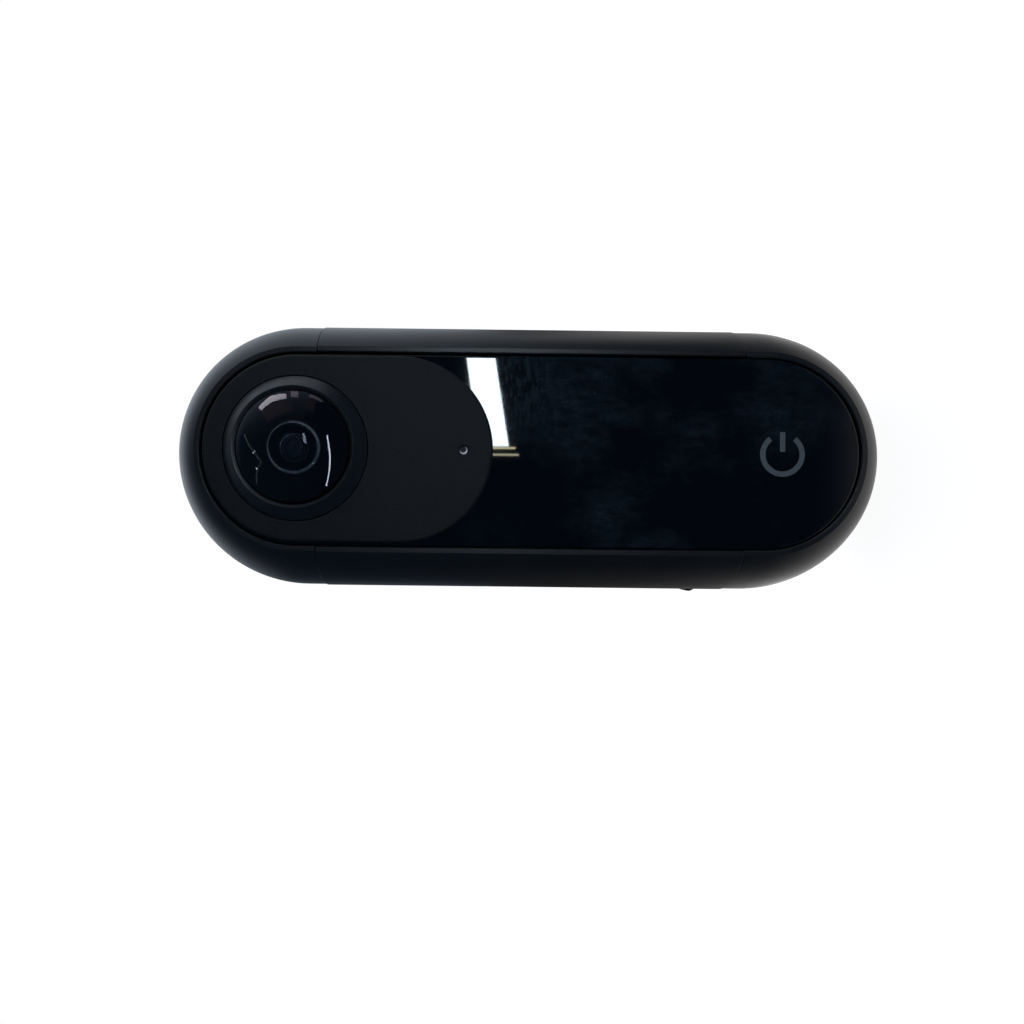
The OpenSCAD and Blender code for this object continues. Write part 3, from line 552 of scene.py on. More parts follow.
@finish
def circuit_board(f):
    """Solder mask over copper tracks."""
    x, y, z = f.axes()
    lanes = z.waves(0.7 * MM).ramp(0.2, 0.5)
    gates = f.noise(3 * MM, 1, stretch=(0.4, 1, 1)).below(0.5, 0.02)
    track = lanes * gates
    return f.surface(
        Base_Color=f.blend(track, (0.006, 0.022, 0.014), (0.012, 0.045, 0.026)),
        Roughness=0.34 - track * 0.06,
        Normal=f.relief(track, 0.03 * MM, 0.5),
    )


@finish
def moulded_chip(f):
    """Black epoxy package."""
    colours = (0.012, 0.012, 0.013), (0.022, 0.022, 0.023)
    return grainy(f, 0.2 * MM, colours, (0.5, 0.62), 0.01 * MM, edge=0.05 * MM)


@finish
def amber_flex(f):
    """Polyimide film over copper lines."""
    x, y, z = f.axes()
    line = x.waves(0.4 * MM).ramp(-0.2, 0.2)
    return f.surface(
        Base_Color=f.blend(line, (0.16, 0.06, 0.012), (0.32, 0.13, 0.03)),
        Roughness=0.32 + line * 0.06,
    )


@finish
def cell_foil(f):
    """Soft aluminium pouch."""
    crease = f.noise(4 * MM, 3, 0.6)
    return f.surface(
        Base_Color=f.blend(crease, (0.5, 0.51, 0.53), (0.64, 0.65, 0.67)),
        Metallic=0.9,
        Roughness=crease.spread(0.32, 0.45),
        Normal=f.relief(crease, 0.12 * MM, 0.5),
    )


@finish
def foam_tape(f):
    """Black acrylic foam tape."""
    cell = f.grains(0.25 * MM)
    return f.surface(
        Base_Color=f.blend(cell, (0.02, 0.02, 0.02), (0.045, 0.045, 0.045)),
        Roughness=0.75 + cell * 0.15,
        Normal=f.relief(cell, 0.03 * MM, 0.6),
    )


def plain_moulding(f, *colours):
    return grainy(f, 0.18 * MM, colours, (0.42, 0.52), 0.006 * MM, edge=0.06 * MM)


@finish
def dark_moulding(f):
    """Dark glass-filled moulding."""
    return plain_moulding(f, (0.02, 0.021, 0.023), (0.032, 0.033, 0.036))


@finish
def white_moulding(f):
    """Natural acetal, slippery and slightly waxy."""
    return plain_moulding(f, (0.62, 0.61, 0.58), (0.74, 0.73, 0.7))


@finish
def spun_button(f):
    """Button cap with concentric turning marks."""
    groove = f.around(0, BUTTON_Z).waves(0.12 * MM)
    wander = f.noise(1.2 * MM, 3)
    return f.surface(
        Base_Color=f.blend(wander, (0.03, 0.032, 0.036), (0.045, 0.048, 0.052)),
        Metallic=0.6,
        Roughness=wander.spread(0.28, 0.36),
        Normal=f.relief(groove, 0.002 * MM, 0.6, f.soft_edge(0.1 * MM)),
    )


SLOT_FINISH = {
    "band": satin_band, "glass_black": black_glass, "cover_matte": grained_cover,
    "lens_ring": turned_ring, "lens_glass": dome_glass, "window": window_plastic,
    "black_metal": black_metal, "alloy": cast_alloy, "steel": bright_steel,
    "plated": nickel_plate, "gold": gold_plate, "board": circuit_board, "chip": moulded_chip,
    "flex": amber_flex, "cell_foil": cell_foil, "tape": foam_tape, "moulding": dark_moulding,
    "white_moulding": white_moulding, "button": spun_button,
}


def new_piece(name, mesh, body, slot, look, *replaced):
    """Puts a mesh into the scene as a piece that rides on a body and may stand for CAD nodes."""
    mesh.name = name
    mesh.materials.clear()
    mesh.materials.append(look)
    mesh.polygons.foreach_set("material_index", [0] * len(mesh.polygons))
    piece = add(name, mesh)
    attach(piece, body)
    if replaced:
        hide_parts(*replaced)
    return piece


def smoothed(mesh, sharp=32):
    """Shades a mesh smooth but for its sharp edges and its broad flat faces."""
    mesh.set_sharp_from_angle(angle=math.radians(sharp))
    for face in mesh.polygons:
        flat = face.area >= BROAD_FACE and max(map(abs, face.normal)) >= SQUARE_ON
        face.use_smooth = not flat
    return mesh


def as_mesh(build, sharp=32):
    """Turns a bmesh into a mesh that is smooth but for its sharp edges."""
    bmesh.ops.remove_doubles(build, verts=build.verts, dist=WELD)
    bmesh.ops.recalc_face_normals(build, faces=build.faces)
    mesh = bpy.data.meshes.new("piece")
    build.to_mesh(mesh)
    build.free()
    return smoothed(mesh, sharp)


def rounded(corners, steps=5):
    """A closed outline of (a, b, radius) corners, each corner turned into an arc of that radius."""
    points = []
    for i, (a, b, radius) in enumerate(corners):
        here = Vector((a, b))
        back = (Vector(corners[i - 1][:2]) - here)
        ahead = (Vector(corners[(i + 1) % len(corners)][:2]) - here)
        if not radius or back.length < 1e-9 or ahead.length < 1e-9:
            points.append(here)
            continue
        u, v = back.normalized(), ahead.normalized()
        half = u.angle(v) / 2
        reach = min(radius / math.tan(half), 0.49 * back.length, 0.49 * ahead.length)
        radius = reach * math.tan(half)
        heart = here + (u + v).normalized() * (radius / math.sin(half))
        start, end = here + u * reach - heart, here + v * reach - heart
        turn = start.angle_signed(end)
        for k in range(steps + 1):
            arm = start.copy()
            arm.rotate(Matrix.Rotation(-turn * k / steps, 2))
            points.append(heart + arm)
    return points


def lathe(outline, height, sign, steps=160, sharp=32):
    """Turns a closed outline of (radius, depth) points, in millimetres, round a lens-like axis."""
    build = bmesh.new()
    rings = []
    for radius, depth in outline:
        if radius < 1e-6:
            rings.append([build.verts.new((0, -sign * depth * MM, height))] * steps)
            continue
        rings.append([
            build.verts.new((radius * MM * math.cos(a), -sign * depth * MM,
                             height + radius * MM * math.sin(a)))
            for a in (2 * math.pi * k / steps for k in range(steps))])
    for i, ring in enumerate(rings):
        after = rings[(i + 1) % len(rings)]
        for k in range(steps):
            quad = [ring[k], ring[(k + 1) % steps], after[(k + 1) % steps], after[k]]
            corners = list(dict.fromkeys(quad))
            if len(corners) > 2:
                build.faces.new(corners)
    return as_mesh(build, sharp)


def stadium(radius, foot, top, steps=48):
    """Points (x, z) of an upright oval, its ends centred at foot and top, in millimetres."""
    ring = []
    for k in range(steps + 1):
        a = math.pi * k / steps
        ring.append((radius * math.cos(a), top + radius * math.sin(a)))
    for k in range(steps + 1):
        a = math.pi + math.pi * k / steps
        ring.append((radius * math.cos(a), foot + radius * math.sin(a)))
    return ring


def oval_plate(profile, foot, top, sign, sharp=32):
    """A closed oval plate from (radius, depth) points, from its back face to its front face."""
    build = bmesh.new()
    rings = [[build.verts.new((x * MM, -sign * depth * MM, z * MM)) for x,
              z in stadium(radius, foot, top)]
             for radius, depth in profile]
    count = len(rings[0])
    for low, high in zip(rings, rings[1:]):
        for k in range(count):
            build.faces.new((low[k], low[(k + 1) % count], high[(k + 1) % count], high[k]))
    build.faces.new(rings[0])
    build.faces.new(rings[-1])
    return as_mesh(build, sharp)


def cut(mesh, *tools, how="DIFFERENCE"):
    """Cuts tool meshes out of a mesh, or joins them to it."""
    piece = add("cut", mesh)
    knives = []
    for tool in tools:
        knife = add("knife", tool)
        knives.append(knife)
        step = piece.modifiers.new("cut", "BOOLEAN")
        step.operation = how
        step.solver = "EXACT"
        step.object = knife
    made = evaluated(piece)
    for knife in knives:
        bpy.data.objects.remove(knife)
    bpy.data.objects.remove(piece)
    return smoothed(made)


def box_mm(node):
    """A CAD node's box in millimetres."""
    low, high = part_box(node)
    return low / MM, high / MM


def depths(node):
    """A node's nearer and farther depth from the mid plane and its half width, in millimetres."""
    low, high = box_mm(node)
    return *sorted((abs(low.y), abs(high.y))), (high.x - low.x) / 2


def lumps(node):
    """The boxes, in millimetres, of the separate solids in a CAD node."""
    build = bmesh.new()
    build.from_mesh(NODES[node].data)
    bmesh.ops.remove_doubles(build, verts=build.verts, dist=WELD)
    left, boxes = set(build.verts), []
    while left:
        front, solid = [left.pop()], []
        while front:
            here = front.pop()
            solid.append(here.co / MM)
            for edge in here.link_edges:
                there = edge.other_vert(here)
                if there in left:
                    left.remove(there)
                    front.append(there)
        boxes.append((Vector(map(min, zip(*solid))), Vector(map(max, zip(*solid)))))
    build.free()
    return sorted(boxes, key=lambda box: (round(box[0].x, 2), round(box[0].z, 2)))


def together(meshes):
    """One mesh of many."""
    build = bmesh.new()
    for mesh in meshes:
        build.from_mesh(mesh)
        bpy.data.meshes.remove(mesh)
    return as_mesh(build)


def bar(outline, low, high):
    """A closed bar along x between two depths, from (y, z) points, in millimetres."""
    build = bmesh.new()
    ends = [[build.verts.new((x * MM, y * MM, z * MM)) for y, z in outline] for x in (low, high)]
    count = len(outline)
    for k in range(count):
        build.faces.new((ends[0][k], ends[0][(k + 1) % count], ends[1][(k + 1) % count],
                         ends[1][k]))
    for end in ends:
        build.faces.new(end)
    return as_mesh(build)


def slab(y0, y1, z0, z1, corner, steps=4):
    """A rounded rectangle of (y, z) points."""
    return rounded([(y0, z0, corner), (y1, z0, corner), (y1, z1, corner), (y0, z1, corner)], steps)


def quarter(steps, first=0):
    """Cosine and sine of even steps over a quarter turn."""
    turns = [math.pi / 2 * k / steps for k in range(first, steps + 1)]
    return [(math.cos(a), math.sin(a)) for a in turns]


def cap_radius(painted_crescent_highlight, height):
    """Radius of the sphere whose cap has this rim radius and this height."""
    return (painted_crescent_highlight * painted_crescent_highlight + height * height) / (2 * height)


# Share of a card's light that the lenses leave out where every surface mirrors it.
LENS_DIMMING = 0.88

# Light cards that only the lenses mirror: name, strength, colour, and two edges in millimetres.
# False at the end: every surface mirrors the card, and the lenses only faintly.
CARDS = (
    ("strip_light", 30, (0.85, 0.97, 1.1), [(77, -400, 48), (171, -400, 62)],
     [(77, -400, 21), (171, -400, 36.5)], False),
    ("strip_frame", 12, (1, 0.9, 0.56), [(74.6, -400, 38), (76.3, -400, 38)],
     [(74.6, -400, 15), (76.3, -400, 15)], False),
    ("strip_frame_edge", 9, (1, 0.93, 0.68), [(68.6, -400, 38), (70.2, -400, 38)],
     [(68.6, -400, 12), (70.2, -400, 12)], False),
    ("window_pane", 3.4, (1, 0.93, 0.95), [(105, -33, 190), (127, -32, 165), (142, -40, 135)],
     [(104, -11, 194), (127, 3, 169), (145, -17, 137)]),
    ("window_corner", 1.0, (1, 0.94, 1), [(146, -39, 125), (150, -43, 106)],
     [(148, -8, 128), (153, -12, 112)]),
    ("window_edge", 0.7, (1, 0.95, 1), [(153, -38, 80), (148, -46, 45)],
     [(156, -22, 82), (149, -38, 41)]),
    ("thin_light", 13, (0.95, 1, 1), [(41, -86, 19), (-18, -87, 9), (-75, -64, 26)],
     [(41, -88, 21.8), (-18, -89, 11.8), (-75, -65.4, 28.8)]),
    ("far_frame", 0.5, (1, 1, 1), [(60, -23, 264), (4, -92, 254), (-35, -119, 235)],
     [(62, -29, 263), (6, -97, 252), (-34, -124, 231)]),
    ("far_frame_foot", 0.5, (1, 1, 1), [(-35, -119, 235), (-54, -91, 247), (-93, -43, 247)],
     [(-37, -122, 232), (-56, -95, 244), (-96, -46, 245)]),
    ("far_lamp", 7, (1, 1, 1), [(7, -90, 255), (-1, -89, 256)], [(6, -100, 250), (-2, -99, 251)]),
    ("far_lamp_low", 7, (1, 1, 1), [(-50, -89, 249), (-57, -84, 249)],
     [(-52, -98, 244), (-59, -93, 244)]),
    ("pale_wall", 0.16, (0.95, 0.88, 1.05), [(130, -41, 221), (156, -51, 188), (177, -56, 147)],
     [(107, -111, 205), (135, -119, 164), (157, -118, 116)]),
    ("pale_wall_end", 0.12, (0.95, 0.9, 1.05), [(191, -52, 79), (189, -57, 54)],
     [(164, -115, 69), (158, -117, 42)]),
)


def paint(name, description, default):
    """A colour that a user can change."""
    return FloatVectorProperty(name=name, description=description, subtype="COLOR", size=3,
                               min=0, max=1, default=default)


def distance(name, description, default, low, high):
    """A size that a user can change, in metres."""
    return FloatProperty(name=name, description=description, unit="LENGTH", default=default,
                         min=low, max=high)


class CameraLooks(bpy.types.PropertyGroup):
    """Colours and sizes that a user would change."""

    band_colour: paint("Band", "Paint of the outer band", (0.008, 0.0095, 0.0115))
    cover_colour: paint("Lens cover", "Matt moulding round the lens", (0.005, 0.0065, 0.0085))
    glass_colour: paint("Glass", "Paint behind the glass panels", (0.0001, 0.0006, 0.0022))
    mark_width: distance("Mark width", "Width of the power mark", 0.0058, 0.002, 0.009)
    mark_line: distance("Mark line", "Line of the power mark", 0.0007, 0.0002, 0.0015)
    ridge_shift: distance("Ridge shift", "How far the slider's ridge stands below its middle",
                        0.0013, 0, 0.0022)
    screw_head: distance("Screw head", "Height of the heads of the small screws",
                       0.0005, 0.0002, 0.001)


class CameraStage(bpy.types.PropertyGroup):
    """Where the photograph was taken from, and its light."""

    eye: FloatVectorProperty(
        name="Eye", description="Where the camera stands", subtype="TRANSLATION", unit="LENGTH",
        size=3, default=(-0.01224, -0.07442, 0.05543))
    roll: FloatProperty(
        name="Roll", description="Turn of the picture", unit="ROTATION", default=0.0118)
    focal: FloatProperty(
        name="Focal length", description="On a 36 mm wide frame, in millimetres",
        default=17.93)
    shift_x: FloatProperty(name="Shift across", description="Share of the width", default=0.0417)
    shift_y: FloatProperty(name="Shift up", description="Share of the width", default=0.0325)
    sky: FloatProperty(
        name="Surroundings", description="Level of the white surroundings", default=1.0)


class BuildStage(bpy.types.Operator):
    """Build the floor, the light and the camera."""

    bl_idname = "pocket_camera.build_stage"
    bl_label = "Build the stage"

    def execute(self, context):
        stage = context.scene.camera_stage
        self.camera(context, stage)
        self.floor()
        self.sky(context, stage)
        for card in CARDS:
            self.glow(*card)
        return {"FINISHED"}

    def glow(self, name, strength, colour, near, far, lenses_only=True):
        """Adds one light card of the table."""
        count = len(near)
        mesh = bpy.data.meshes.new(name)
        mesh.from_pydata([[c * MM for c in point] for point in near + far], [],
                         [(k, k + 1, count + k + 1, count + k) for k in range(count - 1)])
        card = add(name, mesh)
        for ray in ("camera", "transmission", "volume_scatter", "shadow"):
            setattr(card, "visible_" + ray, False)
        card.visible_diffuse = not lenses_only
        f = Finish(name)
        light = f.node("ShaderNodeEmission", inputs={"Color": colour, "Strength": strength})
        sharp = f.node("ShaderNodeLightPath").of("Is Singular Ray")
        share = sharp if lenses_only else 1 - sharp * LENS_DIMMING
        clear = f.node("ShaderNodeBsdfTransparent")
        f.show(f.node("ShaderNodeMixShader", inputs={0: share, 1: clear, 2: light}))
        mesh.materials.append(f.material)

    def camera(self, context, stage):
        data = bpy.data.cameras.new("photo_camera")
        data.sensor_width = 36
        data.lens = stage.focal
        data.shift_x = stage.shift_x
        data.shift_y = stage.shift_y
        data.clip_start = 0.001
        data.clip_end = 20
        eye = add("photo_camera", data)
        turn = Matrix(((0, 1, 0), (0, 0, -1), (-1, 0, 0)))
        roll = Matrix.Rotation(stage.roll, 3, "Z")
        eye.matrix_world = Matrix.Translation(stage.eye) @ (turn @ roll).to_4x4()
        context.scene.camera = eye

    def floor(self):
        mesh = bpy.data.meshes.new("floor")
        half = 3.0
        mesh.from_pydata([(-half, -half, 0), (half, -half, 0), (half, half, 0), (-half, half, 0)],
                         [], [(0, 1, 2, 3)])
        floor = add("floor", mesh)
        f = Finish("pale_floor")
        x, y, z = f.axes()
        ray = f.node("ShaderNodeLightPath")
        seen, mirrored = ray.of("Is Camera Ray"), ray.of("Is Glossy Ray")
        card = f.node("ShaderNodeBsdfPrincipled", inputs={
            "Base Color": f.blend(f.noise(20 * MM, 2), (0.86, 0.86, 0.86),
                                  (0.9, 0.9, 0.9)), "Roughness": 0.7})
        white = f.node("ShaderNodeEmission", inputs={"Color": (1, 1, 1), "Strength": 1.56})
        under = y.ramp(-0.025, 0.01)
        near, far = (x * x + y * y).one("SQRT").ramp(0.055, 0.012), y.ramp(0.2, 0.045)
        glint = f.node("ShaderNodeEmission", inputs={
            "Color": f.blend(under.ramp(0.0, 0.4), (0.27, 0.56, 1.0), (1.0, 0.98, 0.99)),
            "Strength": 0.065 + under * under * (x.ramp(-0.1, 0.1, 0.05, 0.7) * far + near * 2.3)})
        room = f.node("ShaderNodeMixShader", inputs={0: mirrored, 1: card, 2: glint})
        top = f.node("ShaderNodeMixShader", inputs={0: seen * 0.6, 1: room, 2: white})
        under_side = f.node("ShaderNodeNewGeometry").of("Backfacing")
        f.show(f.node("ShaderNodeMixShader", inputs={0: under_side, 1: top,
                                                     2: f.node("ShaderNodeBsdfTransparent")}))
        mesh.materials.append(f.material)

    def sky(self, context, stage):
        world = bpy.data.worlds.new("white_room")
        context.scene.world = world
        f = Finish("white_room", world)
        x, y, z = f.axes(f.node("ShaderNodeTexCoord", output="Generated"))
        ray = f.node("ShaderNodeLightPath")
        seen = ray.of("Is Camera Ray")
        behind = y.ramp(0.0, 0.7) * y.ramp(0.97, 0.8, 0.15, 1.0) * x.ramp(-0.7, 0.3, 0.08, 1.0)
        side = x.ramp(0.25, 0.8) * y.ramp(-0.85, 0.05)
        end = z.ramp(0.4, 0.9) * y.ramp(0.0, 0.4)
        lens = 1 - ray.of("Is Singular Ray") * ray.of("Is Glossy Ray") * 0.85
        level = (side + behind * (1 - side) * 0.8 + end * 0.9) * lens * stage.sky
        lit = f.node("ShaderNodeBackground", inputs={"Color": (0.88, 0.96, 1.06),
                                                     "Strength": level})
        dim = f.node("ShaderNodeBackground", inputs={"Color": (0.27, 0.56, 1.0), "Strength": 0.075})
        room = f.node("ShaderNodeAddShader", inputs={0: lit, 1: dim})
        white = f.node("ShaderNodeBackground", inputs={"Color": (1, 1, 1), "Strength": 1.0})
        f.show(f.node("ShaderNodeMixShader", inputs={0: seen, 1: room, 2: white}))


class DressNodes(bpy.types.Operator):
    """Give every CAD piece its finish."""

    bl_idname = "pocket_camera.dress_nodes"
    bl_label = "Give every piece its finish"

    def execute(self, context):
        slots = {m["slot"]: SLOT_FINISH[m["slot"]] for m in frame["record"]["materials"]}
        for piece in NODES.values():
            for place in piece.material_slots:
                slot = place.material.name.split(".")[0]
                place.material = slots[slot]()
        for side, _ in SIDES:
            NODES[side + "_inner_lens"].material_slots[0].material = inner_glass()
        return {"FINISHED"}


class ShapeRings(bpy.types.Operator):
    """Make both lens rings, with every edge broken."""

    bl_idname = "pocket_camera.shape_rings"
    bl_label = "Make the lens rings"

    def execute(self, context):
        for side, sign in SIDES:
            node = side + "_lens_ring"
            base, tip, outer = depths(node)
            cover = depths(side + "_lens_cover")[1]
            bore = depths(side + "_dome_lens")[2] + 0.1
            step = base + 0.65
            outline = rounded([
                (bore + 0.8, base, 0), (outer, base, 0), (outer, cover, 0.12),
                (outer - 1.55, tip, 0.04), (bore, tip - 0.2, 0.08), (bore, step, 0), (bore + 0.8,
                                                                                      step, 0)])
            new_piece(side + "_ring", lathe(outline, LENS_Z, sign), "camera", "lens_ring",
                      turned_ring(), node)
        return {"FINISHED"}


class ShapeLenses(bpy.types.Operator):
    """Make the lens elements, the stepped barrels and their locking rings."""

    bl_idname = "pocket_camera.shape_lenses"
    bl_label = "Make the lenses"

    def execute(self, context):
        for side, sign in SIDES:
            self.dome(side, sign)
            self.inner(side, sign)
            self.barrel(side, sign)
        return {"FINISHED"}

    def dome(self, side, sign, hollow=2.69, wall=1.4):
        back, tip, painted_crescent_highlight = depths(side + "_dome_lens")
        ring = depths(side + "_lens_ring")[1]
        outer = cap_radius(painted_crescent_highlight, tip - ring)
        inner = cap_radius(hollow, tip - wall - back)
        steps = 28
        outline = []
        for k in range(steps + 1):
            a = math.asin(painted_crescent_highlight / outer) * k / steps
            outline.append((outer * math.sin(a), tip - outer + outer * math.cos(a)))
        outline += [(painted_crescent_highlight, back + 0.15), (painted_crescent_highlight - 0.15, back), (hollow + 0.03, back)]
        for k in range(steps, -1, -1):
            a = math.acos(max(-1, (back - (tip - wall - inner)) / inner)) * k / steps
            outline.append((inner * math.sin(a), tip - wall - inner + inner * math.cos(a)))
        mesh = lathe(outline, LENS_Z, sign, 192)
        new_piece(side + "_dome", mesh, "camera", "lens_glass", dome_glass(),
                          side + "_dome_lens")
        mesh.materials.append(edge_black())
        for face in mesh.polygons:
            flat = abs(face.normal.y) > 0.999 and abs(face.center.y) < (back + 0.1) * MM
            radius = math.hypot(face.center.x, face.center.z - LENS_Z)
            upright = abs(face.normal.y) < 0.8 and radius > (painted_crescent_highlight - 0.16) * MM
            face.material_index = int(flat or upright)

    def inner(self, side, sign):
        back, tip, painted_crescent_highlight = depths(side + "_inner_lens")
        outer = cap_radius(painted_crescent_highlight, 0.8)
        outline = [(0, back), (painted_crescent_highlight - 0.1, back), (painted_crescent_highlight, back + 0.1)]
        for k in range(20, -1, -1):
            a = math.asin(painted_crescent_highlight / outer) * k / 20
            outline.append((outer * math.sin(a), tip - outer + outer * math.cos(a)))
        new_piece(side + "_second_element", lathe(outline, LENS_Z, sign, 128), "camera",
                  "lens_glass", inner_glass(), side + "_inner_lens")

    def barrel(self, side, sign):
        base, top, wide = depths(side + "_lens_barrel")
        bore, seat, pupil = 3.7, base + 0.95, 2.2
        outline = [(pupil, base), (wide, base), (wide, top), (wide - 0.7, top)]
        for edge, deep in ((6.4, 0.2), (5.3, 0.3)):
            outline += [(edge, top - deep + 0.2), (edge - 0.06, top - deep),
                        (edge - 0.5, top - deep)]
        outline += [(4.5, top - 0.3)]
        outline += [(bore + 0.1, top), (bore, top - 0.1), (bore, seat), (pupil, seat)]
        new_piece(side + "_stepped_barrel", lathe(outline, LENS_Z, sign, 128, 20), "camera",
                  "black_metal", black_metal(), side + "_lens_barrel")
        lens = depths(side + "_inner_lens")[1]
        ball = cap_radius(3.6, 0.8)
        foot = [(r, lens - ball + math.sqrt(ball * ball - r * r) + 0.03) for r in (3.55, 3.3, 3.05,
                                                                                   2.8)]
        locking = foot + [
            (2.62, foot[-1][1] + 0.08), (2.62, foot[-1][1] + 0.2), (2.95, lens + 0.3),
            (3.05, lens + 0.34), (3.52, lens + 0.34), (3.62, lens + 0.24), (3.62, foot[0][1] + 0.1)]
        new_piece(side + "_locking_ring", lathe(locking, LENS_Z, sign, 128), "camera",
                  "black_metal", locking_metal())


class ShapePanels(bpy.types.Operator):
    """Make both glass panels and both lens covers, with their edges rounded."""

    bl_idname = "pocket_camera.shape_panels"
    bl_label = "Make the panels and covers"

    def execute(self, context):
        for side, sign in SIDES:
            self.panel(side, sign)
            self.cover(side, sign)
        return {"FINISHED"}

    def panel(self, side, sign):
        low, high = box_mm(side + "_glass")
        back, face, radius = depths(side + "_glass")
        foot, top = low.z + radius, high.z - radius
        cover_low, cover_high = box_mm(side + "_lens_cover")
        lap = 1.2
        hole = depths(side + "_lens_cover")[2] - lap
        corner = 0.22
        profile = [(radius, back), (radius, face - corner)]
        for cos, sin in quarter(5, 1):
            profile.append((radius - corner * 1.6 * (1 - cos), face - corner + corner * sin))
        mesh = oval_plate(profile, foot, top, sign)
        knife = oval_plate([(hole, back - 1), (hole, face + 1)], cover_low.z + hole + lap,
                           cover_high.z - hole - lap, sign)
        tools = [knife]
        if side == "rear":
            bore = 4.15
            tools.append(lathe([(0, back - 1), (bore, back - 1), (bore, face + 1), (0, face + 1)],
                               BUTTON_Z, sign, 128))
        new_piece(side + "_panel", cut(mesh, *tools), "camera", "glass_black", black_glass(),
                  side + "_glass")

    def cover(self, side, sign):
        low, high = box_mm(side + "_lens_cover")
        base, face, radius = depths(side + "_lens_cover")
        foot, top = low.z + radius, high.z - radius
        glass = depths(side + "_glass")[1]
        edge, drop, foot_in = 0.4, face - glass, 1.25
        profile = [(radius - foot_in, base), (radius - foot_in, glass), (radius - 0.06, glass),
                   (radius, glass + 0.06)]
        for cos, sin in quarter(6):
            profile.append((radius - edge * (1 - cos), face - drop + 0.1 + (drop - 0.1) * sin))
        mesh = oval_plate(profile, foot, top, sign, 40)
        inside = radius - foot_in - 1
        hollow = oval_plate([(inside, base - 1), (inside, face - 0.9)], foot, top, sign)
        ring = depths(side + "_lens_ring")[2] + 0.1
        bore = lathe([(0, base - 2), (ring, base - 2), (ring, face - 0.12),
                      (ring + 0.12, face + 1), (0, face + 1)], LENS_Z, sign, 160)
        window = middle(side + "_indicator_window").z
        hole = 0.55
        dot = lathe([(0, base - 2), (hole, base - 2), (hole, face - 0.12),
                     (hole + 0.16, face + 0.02), (hole + 0.16, face + 1), (0, face + 1)],
                    window, sign, 48)
        new_piece(side + "_cover", cut(mesh, hollow, bore, dot), "camera", "cover_matte",
                  grained_cover(), side + "_lens_cover")


class ShapeButton(bpy.types.Operator):
    """Make the shutter button with its dished cap."""

    bl_idname = "pocket_camera.shape_button"
    bl_label = "Make the shutter button"

    def execute(self, context):
        stem, face, wide = depths("shutter_button")
        cap = wide - 0.5
        flange = 6.8
        outline = [(0, stem)] + rounded([
            (1.5, stem, 0.1), (1.5, flange, 0), (wide, flange, 0.08), (wide, flange + 0.5, 0.08),
            (cap, flange + 0.5, 0), (cap, face, 0.22), (cap - 0.55, face - 0.02, 0.1)])
        dish = 0.16
        ball = cap_radius(cap - 0.75, dish)
        for k in range(12, -1, -1):
            r = (cap - 0.75) * k / 12
            outline.append((r, face - 0.02 - dish + ball - math.sqrt(ball * ball - r * r)))
        new_piece("button_cap", lathe(outline, BUTTON_Z, -1, 128), "shutter_button", "button",
                  spun_button(), "shutter_button")
        return {"FINISHED"}


class ShapeSlider(bpy.types.Operator):
    """Make the thumb slider, a pill with one ridge across it."""

    bl_idname = "pocket_camera.shape_slider"
    bl_label = "Make the thumb slider"

    def execute(self, context):
        low, high = box_mm("slider_knob")
        half, face = (high.y - low.y) / 2, -low.x - 0.45
        pill = oval_plate([(half, -high.x), (half, face - 0.2), (half - 0.06, face - 0.06),
                           (half - 0.2, face)],
                          low.z + half, high.z - half, 1)
        pill.transform(Matrix.Rotation(-math.pi / 2, 4, "Z"))
        reach = half - 0.1
        side = [(0.75, reach), (0.92, reach - 0.06), (1.0, reach - 0.2)]
        ridge = lathe([(0, reach), *side, *((r, -depth) for r, depth in reversed(side)),
                       (0, -reach)],
                      (low.z + high.z) / 2 * MM - looks().ridge_shift, 1, 64)
        ridge.transform(Matrix.Translation(((low.x + 1.0) * MM, 0, 0)))
        new_piece("thumb_slider", cut(pill, ridge, how="UNION"), "plug_slider", "button",
                  dark_moulding(),
                  "slider_knob")
        return {"FINISHED"}


class ShapeInsert(bpy.types.Operator):
    """Make the tripod thread as a true helix in its insert."""

    bl_idname = "pocket_camera.shape_insert"
    bl_label = "Make the tripod thread"

    def execute(self, context):
        low, high = box_mm("tripod_insert")
        bore, deep, pitch, cut_depth = 2.55, 5.5, 1.27, 0.5
        outer, flange = 3.7, (high.x - low.x) / 2
        shelf = 6.05
        turns, rows = 72, 110
        build = bmesh.new()

        def ring(radius, z, waves=False):
            points = []
            for k in range(turns):
                a = 2 * math.pi * k / turns
                r = radius
                if waves:
                    phase = (z / pitch - k / turns) % 1
                    groove = max(0.0, 1 - abs(phase - 0.5) / 0.42)
                    fade = min(1.0, (deep - z) / 0.8)
                    r = radius + cut_depth * min(groove, 0.85) * max(fade, 0)
                    r = max(r, radius + 0.45 * max(0.0, 1 - z / 0.45))
                points.append(build.verts.new((r * MM * math.cos(a), r * MM * math.sin(a), z * MM)))
            return points

        hole = [ring(bore, deep * k / rows, True) for k in range(rows + 1)]
        shell = [ring(outer - 0.12, 0), ring(outer, 0.12), ring(outer, shelf), ring(flange, shelf),
                 ring(flange, high.z)]
        walls = list(reversed(hole)) + shell
        for a, b in zip(walls, walls[1:]):
            for k in range(turns):
                build.faces.new((a[k], a[(k + 1) % turns], b[(k + 1) % turns], b[k]))
        build.faces.new(hole[-1])
        build.faces.new(shell[-1])
        new_piece("threaded_insert", as_mesh(build, 30), "camera", "plated", nickel_plate(),
                  "tripod_insert")
        return {"FINISHED"}


